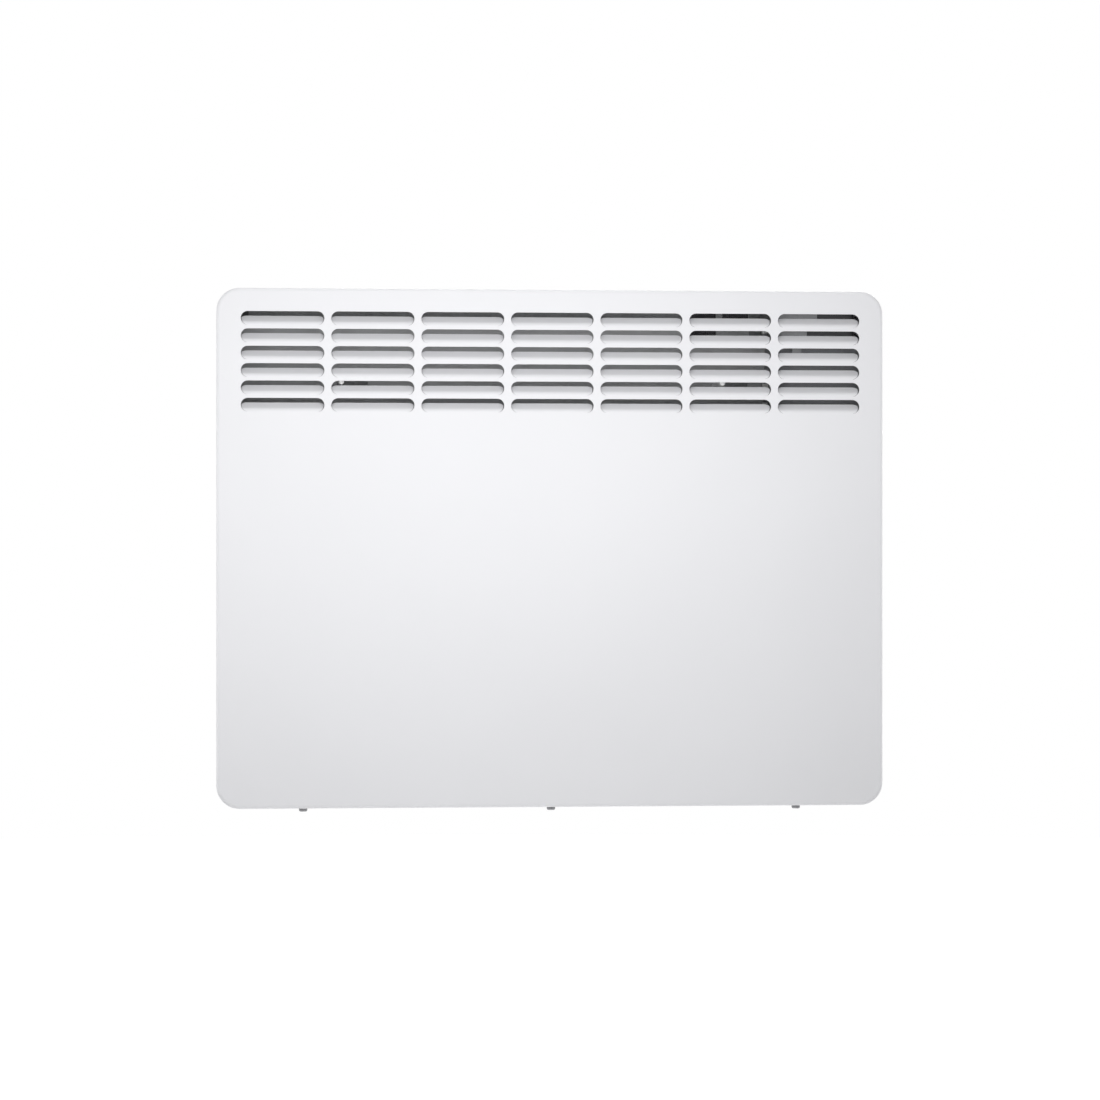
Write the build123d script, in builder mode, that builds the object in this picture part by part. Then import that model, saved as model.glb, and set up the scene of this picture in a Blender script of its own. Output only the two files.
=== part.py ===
"""A wall panel convector heater: a steel casing with louvred outlets, a finned element and a wall bracket.

Frame: X to the right as seen from the front, Z up, the wall is the plane Y = 0 and the front faces -Y.
The origin is the centre of the four wall screw holes. "off" in a name is a distance off the wall: -Y.
All sizes are in millimetres.
"""

import math
import os

from build123d import *

os.makedirs("parts", exist_ok=True)

# ---- casing ----
casing_width = 582.0
casing_height = 450.0
overall_depth = 99.0
corner_radius = 20.0
edge_radius = 3.0
casing_sheet = 0.8
return_width = 12.0
lip_depth = 26.0

# ---- louvred air outlets in the front ----
slot_rows = 6
outlet_margin = 17.0
slot_length = 72.0
slot_height = 12.0
column_pitch = 78.0
row_pitch = 15.0
slot_top_margin = 20.0
louvre_angle = 52.0
louvre_bend = 4.5
louvre_tip_radius = 5.0
shear_gap = 0.5

# ---- rear panel and wall spacers ----
wall_gap = 14.0
rear_sheet = 0.8
swage_height = 2.0
swage_width = 14.0
swage_gap = 15.0
swage_length = 330.0
spacer_diameter = 20.0
spacer_stem = 6.0
spacer_inset_x = 34.0
spacer_inset_z = 30.0

# ---- base grille ----
base_sheet = 0.8
base_flange = 12.0
base_slot_rows = 5
base_slot_length = 60.0
base_slot_width = 5.0
base_slot_pitch_x = 72.0
base_slot_pitch_y = 9.0

# ---- wall bracket ----
bracket_width = 320.0
bracket_height = 260.0
bracket_sheet = 1.5
bracket_corner = 8.0
bracket_window_width = 220.0
bracket_window_height = 160.0
bracket_bend = 2.0
bracket_rib = 6.0
wall_hole_spacing_x = 270.0
wall_hole_spacing_z = 210.0
wall_hole_diameter = 6.0
hook_top_z = 100.0
hook_low_z = -80.0
hook_neck = 14.0
hook_nose = 8.0
hook_reach = 9.0
hook_slot_width = 4.0
lift_travel = 12.0

# ---- inner sheets ----
inner_sheet = 0.6
left_plate_inset = 18.0
control_bay_width = 96.0
plate_front_gap = 4.0
flange_depth = 10.0
baffle_off = 30.0
baffle_rise = 35.0
baffle_lip_off = 50.0
baffle_top_drop = 12.7
baffle_notch_width = 75.0
baffle_notch_depth = 20.0
hook_window_width = 22.0
hook_window_height = 9.0
hook_window_rise = 25.0
hook_window_shift = 9.0
peg_diameter = 5.0
peg_shifts = (14.0, 18.5)
peg_lift = 1.9
peg_end_gap = 9.0
peg_tail = 3.0
peg_rounding = 1.0
shield_off = 84.0
shield_rise = 30.0
shield_top_drop = 20.0
view_tab_widths = (40.0, 31.0)
view_tab_tail_width = 8.0
view_tab_tail_shift = 18.0
view_tab_drop = 1.7
view_tab_off = 84.0
cover_off = 78.0
cover_sheet = 0.8
cover_flange = 8.0
cover_side_gap = 3.0
cover_height = 118.0
cover_top_gap = 2.0
cover_screw_inset = 14.0

# ---- heating element ----
element_off = 57.0
element_rise = 115.0
element_end_gap = 33.7
element_wing = 31.0
element_wing_angle = 48.0
element_web = 1.8
element_rib = 3.0
element_rib_thickness = 1.2
element_rib_pitch = 5.2
element_rib_count = 4
element_boss_diameter = 15.0
sheath_diameter = 8.5
sheath_overhang = 8.0
collar_diameter = 16.0
collar_length = 10.0
collar_head_diameter = 22.0
collar_head = 3.0
insulator_thickness = 3.0
pin_diameter = 2.4
pin_length = 9.0
pin_spacing = 4.4

# ---- safety cut-out in the partition ----
cutout_off = 60.0
cutout_rise = 22.0
cutout_diameter = 17.0
cutout_height = 8.0
cutout_neck_diameter = 12.0
cutout_neck = 5.0
cutout_plate = 0.8
cutout_plate_width = 10.0
cutout_ear_spacing = 24.0
blade_width = 4.8
blade_thickness = 0.8
blade_length = 7.0
blade_spacing = 9.0

# ---- control unit in the top ----
control_side_gap = 1.0
control_off = 57.0
fascia_width = 70.0
fascia_depth = 50.0
fascia_flange = 1.0
fascia_boss = 1.6
fascia_radius = 5.0
fascia_rim = 3.0
fascia_rim_wall = 1.0
aperture_width = 62.0
aperture_depth = 42.0
aperture_radius = 3.0
housing_margin = 1.0
housing_wall = 1.8
housing_height = 41.0
lens_width = 38.0
lens_depth = 20.0
lens_thickness = 0.9
lens_ledge = 2.0
lens_shift = -9.0
display_panel_thickness = 2.4
button_pitch = 14.5
button_width = 10.0
button_depth = 8.0
button_radius = 2.0
button_proud = 0.6
button_flange = 1.0
button_shift = 14.0
button_travel = 0.8
contact_size = 6.0
plunger_diameter = 3.0
plunger_height = 0.5
display_board_drop = 5.5
board_thickness = 1.6
board_gap = 1.0
ribbon_width = 12.0
ribbon_thickness = 0.8

# ---- power board ----
power_board_side_gap = 2.0
power_board_drop = 165.0
power_board_width = 74.0
power_board_height = 96.0
power_board_off = 40.0
post_diameter = 6.0
post_inset = 5.0
header_pitch = 11.0
header_poles = 5
header_height = 12.0
header_depth = 12.0
top_header_width = 12.0
ribbon_socket_width = 16.0
ribbon_socket_height = 8.0
relay_shift_x = 18.0
relay_width = 15.0
relay_height = 29.0
relay_depth = 16.0
transformer_shift_x = -12.0
transformer_shift_z = -6.0
transformer_width = 30.0
transformer_height = 26.0
transformer_depth = 22.0
capacitor_shift_x = 18.0
capacitor_shift_z = 28.0
capacitor_width = 18.0
capacitor_height = 9.0
capacitor_depth = 14.0

# ---- mains switch in the underside ----
switch_inset = 13.0
switch_off = 45.0
switch_body_width = 12.8
switch_body_length = 19.0
switch_body_depth = 16.0
switch_bezel_width = 15.0
switch_bezel_length = 21.0
switch_bezel = 2.0
rocker_width = 9.4
rocker_half_length = 7.3
rocker_height = 4.3
rocker_dip = 1.1
rocker_root = 2.5
rocker_tilt = 8.0
rocker_pivot_depth = 3.5
rocker_pin_diameter = 2.4
rocker_pin_length = 1.2

# ---- supply inlet, terminal block and room sensor ----
inlet_inset = 51.0
inlet_rise = 60.0
inlet_bore = 7.6
inlet_thread = 16.0
inlet_thread_length = 12.0
inlet_head_diameter = 22.0
inlet_head = 5.0
inlet_nut = 5.0
inlet_rounding = 1.0
inlet_chamfer = 0.5
block_inset = 51.0
block_rise = 130.0
block_poles = 3
block_pole_pitch = 13.0
block_height = 24.0
block_depth = 18.0
block_screw_diameter = 4.4
block_screw_spacing = 12.0
block_screw_well = 6.0
block_valley = 4.5
sensor_off = 80.0
sensor_rise = 23.0
sensor_diameter = 5.0
sensor_length = 22.0
sensor_above_clip = 5.2
sensor_tip_radius = 2.0
clip_size = 8.0
clip_depth = 12.0
clip_radius = 1.0

# ---- fasteners, leads and clearances ----
casing_screw_inset = 55.0
casing_screw_setback = 14.0
casing_screw_head = 7.4
casing_screw_head_height = 3.4
casing_screw_diameter = 3.9
casing_screw_length = 10.0
head_rounding_share = 0.45
socket_radius_share = 0.24
socket_depth_share = 0.55
shank_chamfer_share = 0.15
small_screw_head = 6.0
small_screw_head_height = 2.0
small_screw_diameter = 2.9
small_screw_length = 6.0
rear_screw_inset_x = 71.0
rear_screw_inset_z = 75.0
rivet_diameter = 3.2
rivet_head = 6.0
rivet_head_height = 1.0
rivet_rounding = 0.6
rivet_tail_diameter = 4.8
rivet_inset = 32.0
lead_diameter = 2.4
sensor_lead_diameter = 1.6
lead_run = 18.0
lead_bend = 15.0
lead_bend_share = 0.45
clearance = 0.3
running_clearance = 0.05

# ---- worked out from the sizes above ----
half_width = casing_width / 2
half_height = casing_height / 2
bottom_z = -half_height
top_z = half_height
top_inner_z = top_z - casing_sheet
rear_inner_off = wall_gap + rear_sheet
front_inner_off = overall_depth - casing_sheet
plate_front_off = overall_depth - plate_front_gap
corner_x = half_width - corner_radius
slot_columns = int((casing_width - 2 * outlet_margin) / column_pitch)
slot_center_z = top_z - slot_top_margin - slot_height / 2 - (slot_rows - 1) * row_pitch / 2
slot_low_z = slot_center_z - (slot_rows - 1) * row_pitch / 2 - slot_height / 2
rear_inset = edge_radius
base_low_z = bottom_z + casing_sheet
base_half_width = corner_x - clearance
base_slot_columns = int(2 * base_half_width / base_slot_pitch_x)
left_plate_x = -half_width + left_plate_inset
partition_x = half_width - control_bay_width
swage_spread = bracket_width / 2 + swage_gap
spacer_x = half_width - spacer_inset_x
spacer_z = bottom_z + spacer_inset_z
hook_x = bracket_width / 2 - bracket_sheet / 2
hook_tops = (hook_top_z, hook_low_z)
hook_slot_height = hook_neck + lift_travel + 2 * clearance
hot_left_x = left_plate_x + inner_sheet / 2
hot_right_x = partition_x - inner_sheet / 2
cold_left_x = partition_x + inner_sheet / 2
plate_low_z = base_low_z + base_flange + clearance
plate_top_z = top_z - return_width - clearance
baffle_low_z = bottom_z + baffle_rise
baffle_bend_z = slot_low_z
baffle_top_z = plate_top_z - baffle_top_drop
shield_low_z = bottom_z + shield_rise
shield_top_z = slot_low_z - shield_top_drop
view_tab_top_z = plate_top_z - view_tab_drop
hook_window_x = bracket_width / 2 + hook_window_shift
hook_window_z = slot_low_z + hook_window_rise
baffle_slope = (baffle_lip_off - baffle_off) / (baffle_top_z - baffle_bend_z)
peg_seat_off = baffle_off + hook_window_rise * baffle_slope
peg_front_off = overall_depth - peg_end_gap
element_z = bottom_z + element_rise
element_left_x = hot_left_x + element_end_gap
element_length = hot_right_x - element_end_gap - element_left_x
sheath_left_x = left_plate_x - sheath_overhang
sheath_right_x = partition_x + sheath_overhang
pin_end_x = sheath_right_x + pin_length
cutout_z = slot_low_z + cutout_rise
cutout_blade_x = cold_left_x + cutout_plate + cutout_height
control_x = corner_x - control_side_gap - fascia_width / 2
fascia_low_z = top_inner_z - fascia_flange
fascia_top_z = top_inner_z + fascia_boss
housing_width = fascia_width - 2 * housing_margin
housing_depth = fascia_depth - 2 * housing_margin
housing_low_z = fascia_low_z - housing_height
housing_left_x = control_x - housing_width / 2
cover_top_z = housing_low_z - cover_top_gap
cover_low_z = cover_top_z - cover_height
cover_right_x = half_width - return_width - cover_side_gap
cover_screw_zs = (cover_low_z + cover_screw_inset, cover_top_z - cover_screw_inset)
cover_screw_off = cover_off - cover_flange / 2
lens_off = control_off + lens_shift
button_off = control_off + button_shift
button_flange_top_z = fascia_low_z - clearance
button_low_z = button_flange_top_z - button_flange
button_top_z = fascia_top_z + button_proud
contact_top_z = button_low_z - button_travel - running_clearance
display_board_top_z = fascia_low_z - display_board_drop
display_board_low_z = display_board_top_z - board_thickness
display_board_width = housing_width - 2 * housing_wall - 2 * board_gap
display_board_depth = housing_depth - 2 * housing_wall - 2 * board_gap
display_post_x = display_board_width / 2 - post_inset
display_post_y = display_board_depth / 2 - post_inset
power_board_x = half_width - return_width - power_board_side_gap - power_board_width / 2
power_board_z = top_z - power_board_drop
relay_x = power_board_x + relay_shift_x
relay_z = power_board_z
transformer_x = power_board_x + transformer_shift_x
transformer_z = power_board_z + transformer_shift_z
capacitor_x = power_board_x + capacitor_shift_x
capacitor_z = power_board_z + capacitor_shift_z
board_front_off = power_board_off + board_thickness
board_low_z = power_board_z - power_board_height / 2
board_top_z = power_board_z + power_board_height / 2
header_low_z = board_low_z + post_inset + post_diameter
board_left_x = power_board_x - power_board_width / 2
power_post_x = power_board_width / 2 - post_inset
power_post_z = power_board_height / 2 - post_inset
header_off = board_front_off + header_depth / 2
header_xs = [power_board_x + (i - (header_poles - 1) / 2) * header_pitch for i in range(header_poles)]
top_header_x = board_left_x + 2 * post_inset + top_header_width / 2
ribbon_off = board_front_off + ribbon_socket_height / 2
ribbon_socket_top_z = board_top_z - post_inset - post_diameter / 2
switch_x = corner_x - switch_inset
switch_face_z = base_low_z - switch_bezel
rocker_pivot_z = switch_face_z + rocker_pivot_depth
switch_top_z = base_low_z + switch_body_depth
switch_blade_z = switch_top_z + blade_length
inlet_x = half_width - inlet_inset
inlet_z = bottom_z + inlet_rise
block_x = half_width - block_inset
block_z = bottom_z + block_rise
block_top_z = block_z + block_height / 2
block_entry_off = rear_inner_off + block_depth / 2
block_xs = [block_x + (i - (block_poles - 1) / 2) * block_pole_pitch for i in range(block_poles)]
sensor_x = cold_left_x + clip_size / 2
sensor_z = bottom_z + sensor_rise
sensor_top_z = sensor_z + clip_size + sensor_above_clip
casing_screw_off = overall_depth - casing_screw_setback
casing_screw_spread = corner_x - casing_screw_inset
rear_screw_spread_x = corner_x - rear_screw_inset_x
rear_screw_spread_z = half_height - rear_screw_inset_z
rivet_spread_z = plate_top_z - rivet_inset
flange_hole_x = half_width - (return_width + edge_radius) / 2
flange_hole_z = half_height - (return_width + edge_radius) / 2
earth_off = (rear_inner_off + baffle_off) / 2
earth_z = block_z + block_height * 1.5


def off_wall(distance):
    """A plane parallel to the wall at this distance off it, facing the front. Its local Y is Z."""
    return Plane.XZ.offset(distance)


def across(x):
    """A plane square to X. Its local X and Y are Y and Z."""
    return Plane.YZ.offset(x)


def facing_wall(x, off, z):
    """A place whose local Z points at the wall."""
    return Location((x, -off, z), (-90, 0, 0))


def facing_front(x, off, z):
    """A place whose local Z points at the front."""
    return Location((x, -off, z), (90, 0, 0))


def facing_down(x, off, z):
    """A place whose local Z points down."""
    return Location((x, -off, z), (180, 0, 0))


def facing_left(x, off, z):
    """A place whose local Z points to the left, which is -X."""
    return Location((x, -off, z), (0, -90, 0))


def facing_right(x, off, z):
    """A place whose local Z points to the right, which is +X."""
    return Location((x, -off, z), (0, 90, 0))


def save(part, name):
    """Labels a finished piece and writes its file."""
    part.label = name
    export_step(part, f"parts/{name}.step")


def pan_screw(head_diameter, head_height, shank_diameter, shank_length):
    """A pan-head screw with a hexagon socket, standing on its shank: its head starts at Z = 0."""
    with BuildPart() as screw:
        Cylinder(head_diameter / 2, head_height, align=(Align.CENTER, Align.CENTER, Align.MIN))
        fillet(screw.edges().group_by(Axis.Z)[-1], head_height * head_rounding_share)
        Cylinder(shank_diameter / 2, shank_length, align=(Align.CENTER, Align.CENTER, Align.MAX))
        chamfer(screw.edges().group_by(Axis.Z)[0], shank_diameter * shank_chamfer_share)
        with BuildSketch(Plane.XY.offset(head_height)):
            RegularPolygon(head_diameter * socket_radius_share, 6)
        extrude(amount=-head_height * socket_depth_share, mode=Mode.SUBTRACT)
    return screw.part


def corner_radii(points):
    """The bend radius at each inner point of a route: as large as its two runs allow, up to lead_bend."""
    radii = []
    for before, at, after in zip(points, points[1:], points[2:]):
        run_in = Vector(*at) - Vector(*before)
        run_out = Vector(*after) - Vector(*at)
        half_turn = math.radians(run_in.get_angle(run_out)) / 2
        shorter = min(run_in.length, run_out.length)
        radii.append(min(lead_bend, lead_bend_share * shorter / math.tan(half_turn)))
    return radii


def lead(stops, diameter):
    """A round lead along straight runs joined by tangent arcs. Each stop is (x, off, z)."""
    points = [(x, -off, z) for x, off, z in stops]
    with BuildPart() as made:
        with BuildLine() as route:
            FilletPolyline(*points, radius=corner_radii(points))
        with BuildSketch(Plane(origin=route.line @ 0, z_dir=route.line % 0)):
            Circle(diameter / 2)
        sweep()
    return made.part


small_screw = pan_screw(small_screw_head, small_screw_head_height, small_screw_diameter, small_screw_length)
small_hole = small_screw_diameter / 2 + running_clearance

# ==== casing ====

with BuildPart() as casing_cavity:
    with BuildSketch(off_wall(rear_inner_off + casing_sheet)):
        RectangleRounded(
            casing_width - 2 * casing_sheet, casing_height - 2 * casing_sheet, corner_radius - casing_sheet
        )
    extrude(amount=overall_depth - rear_inner_off - 2 * casing_sheet)
    rims = casing_cavity.edges().group_by(Axis.Y)
    fillet(rims[0] + rims[-1], edge_radius - casing_sheet)

slot_places = [
    (place.position.X, place.position.Y + slot_center_z)
    for place in GridLocations(column_pitch, row_pitch, slot_columns, slot_rows)
]
bend_arc = math.radians(louvre_angle)
flank_length = slot_height - shear_gap - (louvre_bend - casing_sheet / 2) * bend_arc
flank_run = (math.sin(bend_arc), math.cos(bend_arc))

with BuildPart() as louvre:
    # Hinged on the slot's lower edge at the origin, it leans back into the casing, towards +Y.
    with BuildSketch(across(-slot_length / 2)):
        with BuildLine():
            foot = Line((0, 0), (0, -shear_gap))
            outer_bend = JernArc((0, 0), (0, 1), louvre_bend, -louvre_angle)
            outer_flank = PolarLine(outer_bend @ 1, flank_length, direction=flank_run)
            inner_bend = JernArc((casing_sheet, 0), (0, 1), louvre_bend - casing_sheet, -louvre_angle)
            inner_flank = PolarLine(inner_bend @ 1, flank_length, direction=flank_run)
            Line(outer_flank @ 1, inner_flank @ 1)
            Polyline(foot @ 1, (casing_sheet, -shear_gap), (casing_sheet, 0))
        make_face()
    extrude(amount=slot_length)
    tip = louvre.faces().sort_by(Axis.Y)[-1]
    fillet(tip.edges().filter_by(Axis.X, reverse=True), louvre_tip_radius)
    with BuildSketch(Plane.XZ.offset(casing_sheet)):
        with Locations((0, slot_height / 2)):
            SlotOverall(slot_length - 2 * shear_gap, slot_height)
        Rectangle(slot_length - slot_height, 2 * shear_gap)
    extrude(amount=-slot_height - 2 * casing_sheet, mode=Mode.INTERSECT)

flange_holes_x = [-rear_screw_spread_x, 0, rear_screw_spread_x]
flange_holes_z = [-rear_screw_spread_z, 0, rear_screw_spread_z]
casing_flange_holes = [(x, flange_hole_z) for x in flange_holes_x]
casing_flange_holes += [(side * flange_hole_x, z) for side in (-1, 1) for z in flange_holes_z]
casing_screw_xs = (-casing_screw_spread, 0, casing_screw_spread)

with BuildPart() as front_casing:
    with BuildSketch(off_wall(rear_inner_off)):
        RectangleRounded(casing_width, casing_height, corner_radius)
    extrude(amount=overall_depth - rear_inner_off)
    rims = front_casing.edges().group_by(Axis.Y)
    fillet(rims[0] + rims[-1], edge_radius)
    add(casing_cavity.part, mode=Mode.SUBTRACT)
    # the window inside the return flange, and the screw holes in that flange
    with BuildSketch(off_wall(rear_inner_off - casing_sheet)):
        RectangleRounded(
            casing_width - 2 * return_width, casing_height - 2 * return_width, corner_radius / 3
        )
        with Locations(*casing_flange_holes):
            Circle(small_hole)
    extrude(amount=3 * casing_sheet, mode=Mode.SUBTRACT)
    # the underside is open behind the front lip
    with BuildSketch(Plane.XY.offset(bottom_z - casing_sheet)):
        with Locations((0, -(overall_depth - lip_depth))):
            Rectangle(2 * corner_x, overall_depth, align=(Align.CENTER, Align.MIN))
    extrude(amount=return_width + 2 * casing_sheet, mode=Mode.SUBTRACT)
    with BuildSketch(Plane.XY.offset(bottom_z - casing_sheet)):
        with Locations(*[(x, -casing_screw_off) for x in casing_screw_xs]):
            Circle(casing_screw_diameter / 2 + running_clearance)
    extrude(amount=3 * casing_sheet, mode=Mode.SUBTRACT)
    # louvred slots
    with BuildSketch(off_wall(front_inner_off - casing_sheet)):
        with Locations(*slot_places):
            SlotOverall(slot_length, slot_height)
    extrude(amount=3 * casing_sheet, mode=Mode.SUBTRACT)
    with Locations(*[Location((x, -overall_depth, z - slot_height / 2)) for x, z in slot_places]):
        add(louvre.part)
    # aperture for the control unit in the top
    with BuildSketch(Plane.XY.offset(top_z - 2 * casing_sheet)):
        with Locations((control_x, -control_off)):
            RectangleRounded(aperture_width, aperture_depth, aperture_radius)
    extrude(amount=4 * casing_sheet, mode=Mode.SUBTRACT)
save(front_casing.part, "front_casing")

casing_screw = pan_screw(
    casing_screw_head, casing_screw_head_height, casing_screw_diameter, casing_screw_length
)

with BuildPart() as casing_screws:
    with Locations(*[facing_down(x, casing_screw_off, bottom_z) for x in casing_screw_xs]):
        add(casing_screw)
save(casing_screws.part, "casing_screws")

# ==== base grille ====

base_holes = [(side * rear_screw_spread_x / 2, bottom_z + return_width / 2) for side in (-1, 1)]
base_slots_y = -(rear_inner_off + overall_depth - lip_depth) / 2
base_slot_places = [
    (place.position.X, place.position.Y + base_slots_y)
    for place in GridLocations(base_slot_pitch_x, base_slot_pitch_y, base_slot_columns, base_slot_rows)
]

with BuildPart() as base_grille:
    # a plate lying on the casing's lip, with its rear edge turned up against the rear panel
    with BuildSketch(across(-base_half_width)):
        with Locations((-rear_inner_off, base_low_z)):
            Rectangle(
                front_inner_off - edge_radius - rear_inner_off, base_sheet, align=(Align.MAX, Align.MIN)
            )
            Rectangle(base_sheet, base_flange, align=(Align.MAX, Align.MIN))
    extrude(amount=2 * base_half_width)
    with BuildSketch(Plane.XY.offset(base_low_z - base_sheet)):
        with Locations(*base_slot_places):
            SlotOverall(base_slot_length, base_slot_width)
        with Locations(*[(x, -casing_screw_off) for x in casing_screw_xs]):
            Circle(casing_screw_diameter / 2 + running_clearance)
        with Locations((switch_x, -switch_off)):
            Rectangle(switch_body_width + 2 * running_clearance, switch_body_length + 2 * running_clearance)
    extrude(amount=3 * base_sheet, mode=Mode.SUBTRACT)
    with BuildSketch(off_wall(wall_gap)):
        with Locations(*base_holes):
            Circle(small_hole)
    extrude(amount=2 * rear_sheet + base_sheet, mode=Mode.SUBTRACT)
save(base_grille.part, "base_grille")

# ==== rear panel ====

rivet_columns = (hot_left_x + flange_depth / 2, hot_right_x - flange_depth / 2)
rivet_places = [(x, z) for x in rivet_columns for z in (-rivet_spread_z, 0, rivet_spread_z)]
hook_slots = [(side * hook_x, z + clearance - hook_slot_height / 2) for side in (-1, 1) for z in hook_tops]

with BuildPart() as rear_panel:
    with BuildSketch(off_wall(wall_gap)):
        RectangleRounded(
            casing_width - 2 * rear_inset, casing_height - 2 * rear_inset, corner_radius - rear_inset
        )
    extrude(amount=rear_sheet)
    # two upright swages pressed towards the wall
    with BuildSketch(off_wall(wall_gap)):
        with Locations((-swage_spread, 0), (swage_spread, 0)):
            SlotOverall(swage_length, swage_width, rotation=90)
    extrude(amount=-swage_height)
    fillet(rear_panel.edges().group_by(Axis.Y)[-1], rear_sheet)
    with BuildSketch(off_wall(rear_inner_off)):
        with Locations((-swage_spread, 0), (swage_spread, 0)):
            SlotOverall(swage_length - 2 * rear_sheet, swage_width - 2 * rear_sheet, rotation=90)
    extrude(amount=-swage_height, mode=Mode.SUBTRACT)
    # slots for the hooks, the cable inlet, the spacers, screws and rivets
    with BuildSketch(off_wall(wall_gap - swage_height)):
        with Locations(*hook_slots):
            Rectangle(hook_slot_width, hook_slot_height)
        with Locations((inlet_x, inlet_z)):
            Circle(inlet_thread / 2 + running_clearance)
        with Locations((-spacer_x, spacer_z), (spacer_x, spacer_z)):
            Circle(spacer_stem / 2 + running_clearance)
        with Locations(*casing_flange_holes, *base_holes):
            Circle(small_hole)
        with Locations(*rivet_places):
            Circle(rivet_diameter / 2 + running_clearance)
    extrude(amount=swage_height + 2 * rear_sheet, mode=Mode.SUBTRACT)
save(rear_panel.part, "rear_panel")

with BuildPart() as rear_panel_screws:
    with Locations(*[facing_wall(x, wall_gap, z) for x, z in casing_flange_holes + base_holes]):
        add(small_screw)
save(rear_panel_screws.part, "rear_panel_screws")

with BuildPart() as rivet:
    # head on the wall side, formed tail on the inner side
    Cylinder(rivet_head / 2, rivet_head_height, align=(Align.CENTER, Align.CENTER, Align.MIN))
    fillet(rivet.edges().group_by(Axis.Z)[-1], rivet_rounding)
    grip = rear_sheet + inner_sheet
    Cylinder(rivet_diameter / 2, grip, align=(Align.CENTER, Align.CENTER, Align.MAX))
    with Locations((0, 0, -grip)):
        Cylinder(rivet_tail_diameter / 2, rivet_head_height, align=(Align.CENTER, Align.CENTER, Align.MAX))

with BuildPart() as sheet_rivets:
    with Locations(*[facing_wall(x, wall_gap, z) for x, z in rivet_places]):
        add(rivet.part)
save(sheet_rivets.part, "sheet_rivets")

with BuildPart() as wall_spacers:
    with Locations(*[facing_wall(side * spacer_x, wall_gap, spacer_z) for side in (-1, 1)]):
        Cylinder(spacer_diameter / 2, wall_gap, align=(Align.CENTER, Align.CENTER, Align.MIN))
        Cylinder(spacer_stem / 2, 2 * rear_sheet, align=(Align.CENTER, Align.CENTER, Align.MAX))
    fillet(wall_spacers.edges().group_by(Axis.Y)[-1], rear_sheet)
save(wall_spacers.part, "wall_spacers")

# ==== wall bracket ====

with BuildPart() as wall_bracket:
    with BuildSketch(off_wall(0)):
        Rectangle(bracket_width, bracket_height)
        RectangleRounded(bracket_window_width, bracket_window_height, bracket_corner, mode=Mode.SUBTRACT)
    extrude(amount=bracket_sheet)
    # top and bottom edges turned forward
    with BuildSketch(off_wall(0)):
        for side in (-1, 1):
            with Locations((0, side * (bracket_height - bracket_sheet) / 2)):
                Rectangle(bracket_width, bracket_sheet)
    extrude(amount=bracket_rib)
    # side flanges that reach the rear panel, each with two hooks
    with BuildSketch(across(-bracket_width / 2)):
        Rectangle(wall_gap - clearance, bracket_height, align=(Align.MAX, Align.CENTER))
        for top in hook_tops:
            with Locations((0, top)):
                Rectangle(rear_inner_off + hook_reach, hook_neck, align=(Align.MAX, Align.MAX))
            with Locations((-rear_inner_off - clearance, top)):
                Rectangle(hook_reach - clearance, 2 * hook_nose, align=(Align.MAX, Align.CENTER))
    extrude(amount=bracket_sheet)
    mirror(about=Plane.YZ)
    nose_tips = wall_bracket.edges().filter_by(Axis.X).group_by(Axis.Y)[0]
    fillet(nose_tips, hook_nose / 4)
    bends = wall_bracket.edges().filter_by(Axis.Z).group_by(Axis.Y)[-1]
    fillet([bends.sort_by(Axis.X)[0], bends.sort_by(Axis.X)[-1]], bracket_bend)
    with BuildSketch(off_wall(0)):
        with GridLocations(wall_hole_spacing_x, wall_hole_spacing_z, 2, 2):
            Circle(wall_hole_diameter / 2)
    extrude(amount=2 * bracket_sheet, mode=Mode.SUBTRACT)
save(wall_bracket.part, "wall_bracket")

# ==== inner sheets ====

housing_boss_offs = (control_off - housing_depth / 3, control_off)
housing_boss_z = housing_low_z + housing_height / 4
cutout_ear_zs = (cutout_z - cutout_ear_spacing / 2, cutout_z + cutout_ear_spacing / 2)


def end_plate(x, flange_side):
    """An upright plate across the casing, riveted to the rear panel by a flange on the given side of it."""
    with BuildPart() as plate:
        with BuildSketch(across(x - inner_sheet / 2)):
            with Locations((-rear_inner_off, plate_low_z)):
                Rectangle(
                    plate_front_off - rear_inner_off, plate_top_z - plate_low_z, align=(Align.MAX, Align.MIN)
                )
            with Locations((-element_off, element_z)):
                Circle(collar_diameter / 2 + running_clearance, mode=Mode.SUBTRACT)
        extrude(amount=inner_sheet)
        flange_x = x + flange_side * (flange_depth + inner_sheet) / 2
        with BuildSketch(off_wall(rear_inner_off)):
            with Locations((flange_x, (plate_low_z + plate_top_z) / 2)):
                Rectangle(flange_depth, plate_top_z - plate_low_z)
            with Locations(*rivet_places):
                Circle(rivet_diameter / 2 + running_clearance, mode=Mode.SUBTRACT)
        extrude(amount=inner_sheet)
    return plate.part


with BuildPart() as left_end_plate:
    add(end_plate(left_plate_x, 1))
save(left_end_plate.part, "left_end_plate")

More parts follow.
